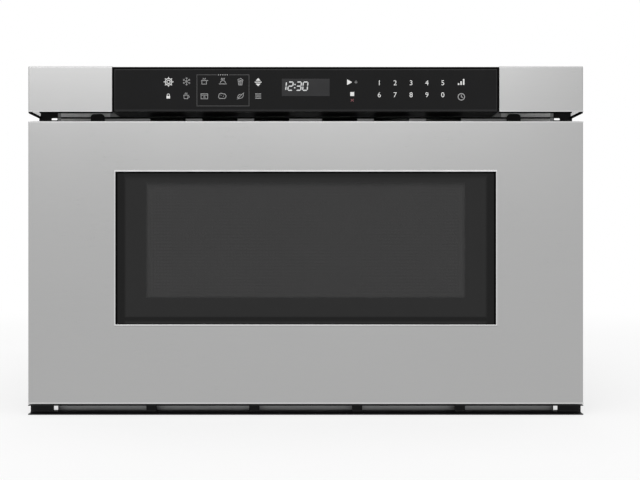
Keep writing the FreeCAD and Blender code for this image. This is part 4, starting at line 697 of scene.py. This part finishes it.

# The bright bead round the window, and inside it a black ring of painted shade on the glass's edge: margins
# beyond the glass and depth at each station
BEAD_OUTER = (2.3, 2.05, 2.45)
BEAD_RIDGE = (1.05, 0.8, 0.85)
BEAD_INNER = (0.87, 0.62, 0.66)
SEAL_INNER = (-1.0, -0.1, -1.1)
BEAD = ((BEAD_OUTER, -0.04), (BEAD_RIDGE, -0.14), (BEAD_INNER, -0.06), (BEAD_INNER, 1.1), (BEAD_OUTER, 0.02))
SEAL = ((BEAD_INNER, 1.05), (SEAL_INNER, 1.9), (SEAL_INNER, 1.98), (BEAD_INNER, 1.12))
piece("window_bead", [ring(WINDOW, BEAD)], "polished_edge", "drawer")
piece("window_shade_ring", [ring(WINDOW, SEAL)], "matt_black", "drawer")

# The seal over the top of the control glass and down both its sides: a thin lip on the glass, and its body
LIP_DEPTH = (0.35, 0.49)
LIP_REACH = 0.8
LIP_LOW = 377.6
BODY_DEPTH = (0.49, 3.0)
SEAL_HIGH = 379.95
panel_seal = [bar((-TRIM_INNER, TRIM_INNER), LIP_DEPTH, (LIP_LOW, SEAL_HIGH)),
              bar((-TRIM_INNER, TRIM_INNER), BODY_DEPTH, (PANEL_HIGH, SEAL_HIGH)),
              *mirrored_bars((PANEL_SIDE - LIP_REACH, TRIM_INNER), LIP_DEPTH, (PANEL_LOW, LIP_LOW)),
              *mirrored_bars((PANEL_SIDE, TRIM_INNER), BODY_DEPTH, (PANEL_LOW, PANEL_HIGH))]
piece("panel_seal", panel_seal, "matt_black", "cabinet")

# Painted highlights on the control glass's bevelled edges, inside its seal: a lighter ring
EDGE_OUTER = (-0.8, 0.0, -1.6)
EDGE_INNER = (-1.7, -1.9, -2.4)
BEVEL_HIGHLIGHT = ((EDGE_OUTER, 0.47), (EDGE_INNER, 0.44), (EDGE_INNER, 0.49), (EDGE_OUTER, 0.5))
piece("panel_bevel_highlight", [ring(PANEL, BEVEL_HIGHLIGHT)], "bevel_highlight_glass", "cabinet")

# A black strip along the frame plate's lower edge, deep in the gap above the drawer front: painted shade in
# that gap
SEAM_HALF = 277.8
SEAM_DEPTH = (40.7, 41.0)
SEAM = (329.1, 330.95)
piece("seam_shade_strip", [bar((-SEAM_HALF, SEAM_HALF), SEAM_DEPTH, SEAM)], "matt_black", "cabinet")

# The pale inner faces of the trims' ends, which glow as painted light: they stand in for faces lit inside
# the hollow trims
LINER_X = (301.3, 301.7)
LINER_DEPTH = (2.0, 41.0)
LINER_Z = (331.4, 379.0)
piece("trim_glowing_liners", mirrored_bars(LINER_X, LINER_DEPTH, LINER_Z), "glowing_white_liner", "cabinet")

# Black strips under the trims' lower edges: one from front to back at the end, one along the front
END_DARK_STRIP = dict(x=(300.9, 303.1), depth=(1.6, 41.5), z=(329.5, 331.7))
FRONT_DARK_STRIP = dict(x=(TRIM_INNER, 291.0), depth=(1.2, 3.0), z=(329.75, 331.05))
dark_strips = [*mirrored_bars(**END_DARK_STRIP), *mirrored_bars(**FRONT_DARK_STRIP)]
piece("trim_dark_strips", dark_strips, "matt_black", "cabinet")

# Painted highlights: bars of lighter metal along the trims' lower edges and the drawer front's low and high
# edges, where the rounded folds catch the light
HIGHLIGHT_DEPTH = (-0.03, 0.6)
TRIM_HIGHLIGHT = 1.25
TRIM_HIGHLIGHT_X = (TRIM_INNER + 0.2, TRIM_OUTER)
SKIN_HIGHLIGHT = 1.625
SKIN_HIGHLIGHT_X = (-TRIM_OUTER, TRIM_OUTER)
LOW_HIGHLIGHT_DROP = 0.1
HIGH_HIGHLIGHT_DROP = 0.3
trim_edge_highlights = mirrored_bars(TRIM_HIGHLIGHT_X, HIGHLIGHT_DEPTH, (TRIM_LOW, TRIM_LOW + TRIM_HIGHLIGHT))
piece("trim_edge_highlights", trim_edge_highlights, "edge_highlight_metal", "cabinet")
drawer_edge_highlights = [bar(SKIN_HIGHLIGHT_X, HIGHLIGHT_DEPTH, (SKIN_LOW - LOW_HIGHLIGHT_DROP, SKIN_LOW + SKIN_HIGHLIGHT)),
                bar(SKIN_HIGHLIGHT_X, HIGHLIGHT_DEPTH, (SKIN_HIGH - SKIN_HIGHLIGHT, SKIN_HIGH - HIGH_HIGHLIGHT_DROP))]
piece("drawer_edge_highlights", drawer_edge_highlights, "edge_highlight_metal", "drawer")

# Pale plates deep under each trim, above and below the seam's black strip: painted light, standing in for
# the light that the trims throw onto the frame plate there
HIGH_BACKING = dict(x=(222.0, 277.9), depth=(40.8, 40.95), z=(SEAM[1], 336.5))
LOW_BACKING = dict(x=(244.0, 277.9), depth=(40.8, 40.95), z=(320.0, SEAM[0]))
painted_light_backings = [*mirrored_bars(**HIGH_BACKING), *mirrored_bars(**LOW_BACKING)]
piece("trim_painted_light_backings", painted_light_backings, "painted_light_pale", "cabinet")


# ----------------------------------------------------------- perforated screen

HOLE_PITCH = 3.6 * MM
HOLE_RADIUS = 1.3 * MM
SCREEN_MARGIN = 2.0 * MM
# The eight points round a hole's square cell, in half pitches from its middle
CELL_RIM = ((1, 0), (1, 1), (0, 1), (-1, 1), (-1, 0), (-1, -1), (0, -1), (1, -1))


def screen_parts():
    """The shield plate with its field of round holes, solid at the rim."""
    low, high = SCREEN
    sides = (low.y, high.y)
    columns = int((high.x - low.x - 2 * SCREEN_MARGIN) / HOLE_PITCH)
    rows = int((high.z - low.z - 2 * SCREEN_MARGIN) / HOLE_PITCH)
    left = (low.x + high.x - columns * HOLE_PITCH) / 2
    base = (low.z + high.z - rows * HOLE_PITCH) / 2
    points, faces, shared = [], [], {}

    def point(i, k, side):
        """The point half a pitch times i and k from the first corner, made once."""
        if (i, k, side) not in shared:
            shared[i, k, side] = len(points)
            points.append((left + i * HOLE_PITCH / 2, sides[side], base + k * HOLE_PITCH / 2))
        return shared[i, k, side]

    def hole(i, k):
        """The plate round one hole on both sides, and the hole's wall."""
        middle_x, middle_z = left + i * HOLE_PITCH / 2, base + k * HOLE_PITCH / 2
        starts = []
        for y in sides:
            starts.append(len(points))
            for step in range(len(CELL_RIM)):
                angle = math.tau * step / len(CELL_RIM)
                points.append((middle_x + HOLE_RADIUS * math.cos(angle), y,
                               middle_z + HOLE_RADIUS * math.sin(angle)))
        near, far = starts
        for step, (ai, ak) in enumerate(CELL_RIM):
            after = (step + 1) % len(CELL_RIM)
            bi, bk = CELL_RIM[after]
            faces.append([near + after, point(i + bi, k + bk, 0), point(i + ai, k + ak, 0), near + step])
            faces.append([far + step, point(i + ai, k + ak, 1), point(i + bi, k + bk, 1), far + after])
            faces.append([far + step, far + after, near + after, near + step])

    def rim(side):
        """The solid border on one side. Its four corners' first index comes back."""
        start, y = len(points), sides[side]
        points.extend([(low.x, y, low.z), (high.x, y, low.z), (high.x, y, high.z), (low.x, y, high.z)])
        last_i, last_k = 2 * columns, 2 * rows
        edges = ([point(i, 0, side) for i in range(last_i + 1)],
                 [point(last_i, k, side) for k in range(last_k + 1)],
                 [point(i, last_k, side) for i in range(last_i, -1, -1)],
                 [point(0, k, side) for k in range(last_k, -1, -1)])
        for number, edge in enumerate(edges):
            face = [start + number, start + (number + 1) % 4, *edge[::-1]]
            faces.append(face[::-1] if side else face)
        return start

    for column in range(columns):
        for row in range(rows):
            hole(2 * column + 1, 2 * row + 1)
    near, far = rim(0), rim(1)
    for a in range(4):
        b = (a + 1) % 4
        faces.append([near + b, near + a, far + a, far + b])
    return points, faces


piece("screen_perforated", [screen_parts()], "shield_plate", "drawer",
      replaced=("perforated_screen",))


# ------------------------------------------------------------ floor and lights

# How bright the world is to look at, and as light on the object
BACKGROUND = 1.0
WORLD_DIFFUSE = 0.6
# Half the floor's side in metres, its tones, and the size of its soft patches in mm
FLOOR_HALF = 6.0
FLOOR_TONES = (0.93, 0.95)
FLOOR_PATCH = 400
FLOOR_ROUGH = 0.9
# Plain white takes over the floor's shading between these distances. Up to the near one it has the first
# share where the floor is seen, and the second where the floor is mirrored.
FLOOR_NEAR, FLOOR_FAR = 0.7, 1.6
SHARE_SEEN, SHARE_MIRRORED = 0.65, 0.95


def white_for_camera(tree, seen, otherwise):
    """A number that is seen for camera, glossy and transmitted rays, and otherwise for the rest."""
    path = add(tree, "ShaderNodeLightPath").outputs
    straight = arithmetic(tree, "MAXIMUM", path["Is Camera Ray"],
                          arithmetic(tree, "MAXIMUM", path["Is Glossy Ray"], path["Is Transmission Ray"]))
    return remap(tree, straight, 0.0, 1.0, otherwise, seen)


def studio_world():
    """A world that is white to look at and softer as light."""
    world = bpy.data.worlds.new("studio")
    bpy.context.scene.world = world
    world.use_nodes = True
    tree = world.node_tree
    sky = tree.nodes["Background"]
    sky.inputs["Color"].default_value = (1, 1, 1, 1)
    tree.links.new(white_for_camera(tree, BACKGROUND, WORLD_DIFFUSE), sky.inputs["Strength"])


def floor_look():
    """A pale floor that keeps the object's shadow and turns white further off."""
    made = bpy.data.materials.new("floor")
    made.use_nodes = True
    tree = made.node_tree
    shader = tree.nodes["Principled BSDF"]
    tone = remap(tree, noise(tree, place(tree), FLOOR_PATCH), 0, 1, *FLOOR_TONES)
    colour = add(tree, "ShaderNodeCombineColor", {0: tone, 1: tone, 2: tone})
    tree.links.new(colour.outputs[0], shader.inputs["Base Color"])
    shader.inputs["Roughness"].default_value = FLOOR_ROUGH
    shader.inputs["Specular IOR Level"].default_value = 0.0
    away = add(tree, "ShaderNodeVectorMath", {0: place(tree)}, operation="LENGTH").outputs["Value"]
    mirrored = add(tree, "ShaderNodeLightPath").outputs["Is Glossy Ray"]
    near_share = remap(tree, mirrored, 0.0, 1.0, SHARE_SEEN, SHARE_MIRRORED)
    share = remap(tree, away, FLOOR_NEAR, FLOOR_FAR, near_share, 1, True)
    white_share = arithmetic(tree, "MULTIPLY", share, white_for_camera(tree, 1.0, 0.0))
    white = add(tree, "ShaderNodeEmission", {"Strength": BACKGROUND})
    mixed = add(tree, "ShaderNodeMixShader", {0: white_share, 1: shader.outputs[0], 2: white.outputs[0]})
    tree.links.new(mixed.outputs[0], tree.nodes["Material Output"].inputs["Surface"])
    return made


def studio_floor():
    """The square floor under the object."""
    mesh = bpy.data.meshes.new("floor")
    corners = [(x * FLOOR_HALF, y * FLOOR_HALF, 0) for x, y in ((-1, -1), (1, -1), (1, 1), (-1, 1))]
    mesh.from_pydata(corners, [], [(0, 1, 2, 3)])
    mesh.materials.append(floor_look())
    made = bpy.data.objects.new("floor", mesh)
    bpy.context.scene.collection.objects.link(made)


# name, place and (width, height) in metres, power in watts
LAMPS = (
    ("key", (-0.41, -2.25, 1.38), (2.6, 1.05), 18.3),
    ("top", (0.0, -0.3, 2.4), (2.8, 2.4), 18),
    ("rear", (0.0, 2.2, 1.4), (2.2, 1.0), 10),
)
LAMP_TARGET = (0, 0, 0.19)


def soft_lamp(name, location, size, power):
    """A large soft rectangular lamp that faces the object's middle."""
    light = bpy.data.lights.new(name, "AREA")
    light.shape = "RECTANGLE"
    light.size, light.size_y = size
    light.energy = power
    made = bpy.data.objects.new(name, light)
    bpy.context.scene.collection.objects.link(made)
    made.location = location
    away = made.location - Vector(LAMP_TARGET)
    made.rotation_euler = away.to_track_quat("Z", "Y").to_euler()


studio_world()
studio_floor()
for lamp in LAMPS:
    soft_lamp(*lamp)


# ---------------------------------------------------------------------- camera

# The place is in metres, the lens and the sensor's width in mm, and the shift in shares of that width
CAMERA_PLACE = (0.0, -1.297, 0.183)
CAMERA_LENS = 51.525
CAMERA_SENSOR = 36.0
CAMERA_SHIFT = (0.02234, 0.01141)

camera_data = bpy.data.cameras.new("camera")
camera_data.sensor_width = CAMERA_SENSOR
camera_data.lens = CAMERA_LENS
camera_data.shift_x, camera_data.shift_y = CAMERA_SHIFT
camera = bpy.data.objects.new("camera", camera_data)
bpy.context.scene.collection.objects.link(camera)
camera.location = CAMERA_PLACE
camera.rotation_euler = (math.radians(90), 0, 0)
bpy.context.scene.camera = camera
bpy.context.scene.view_settings.view_transform = "Standard"
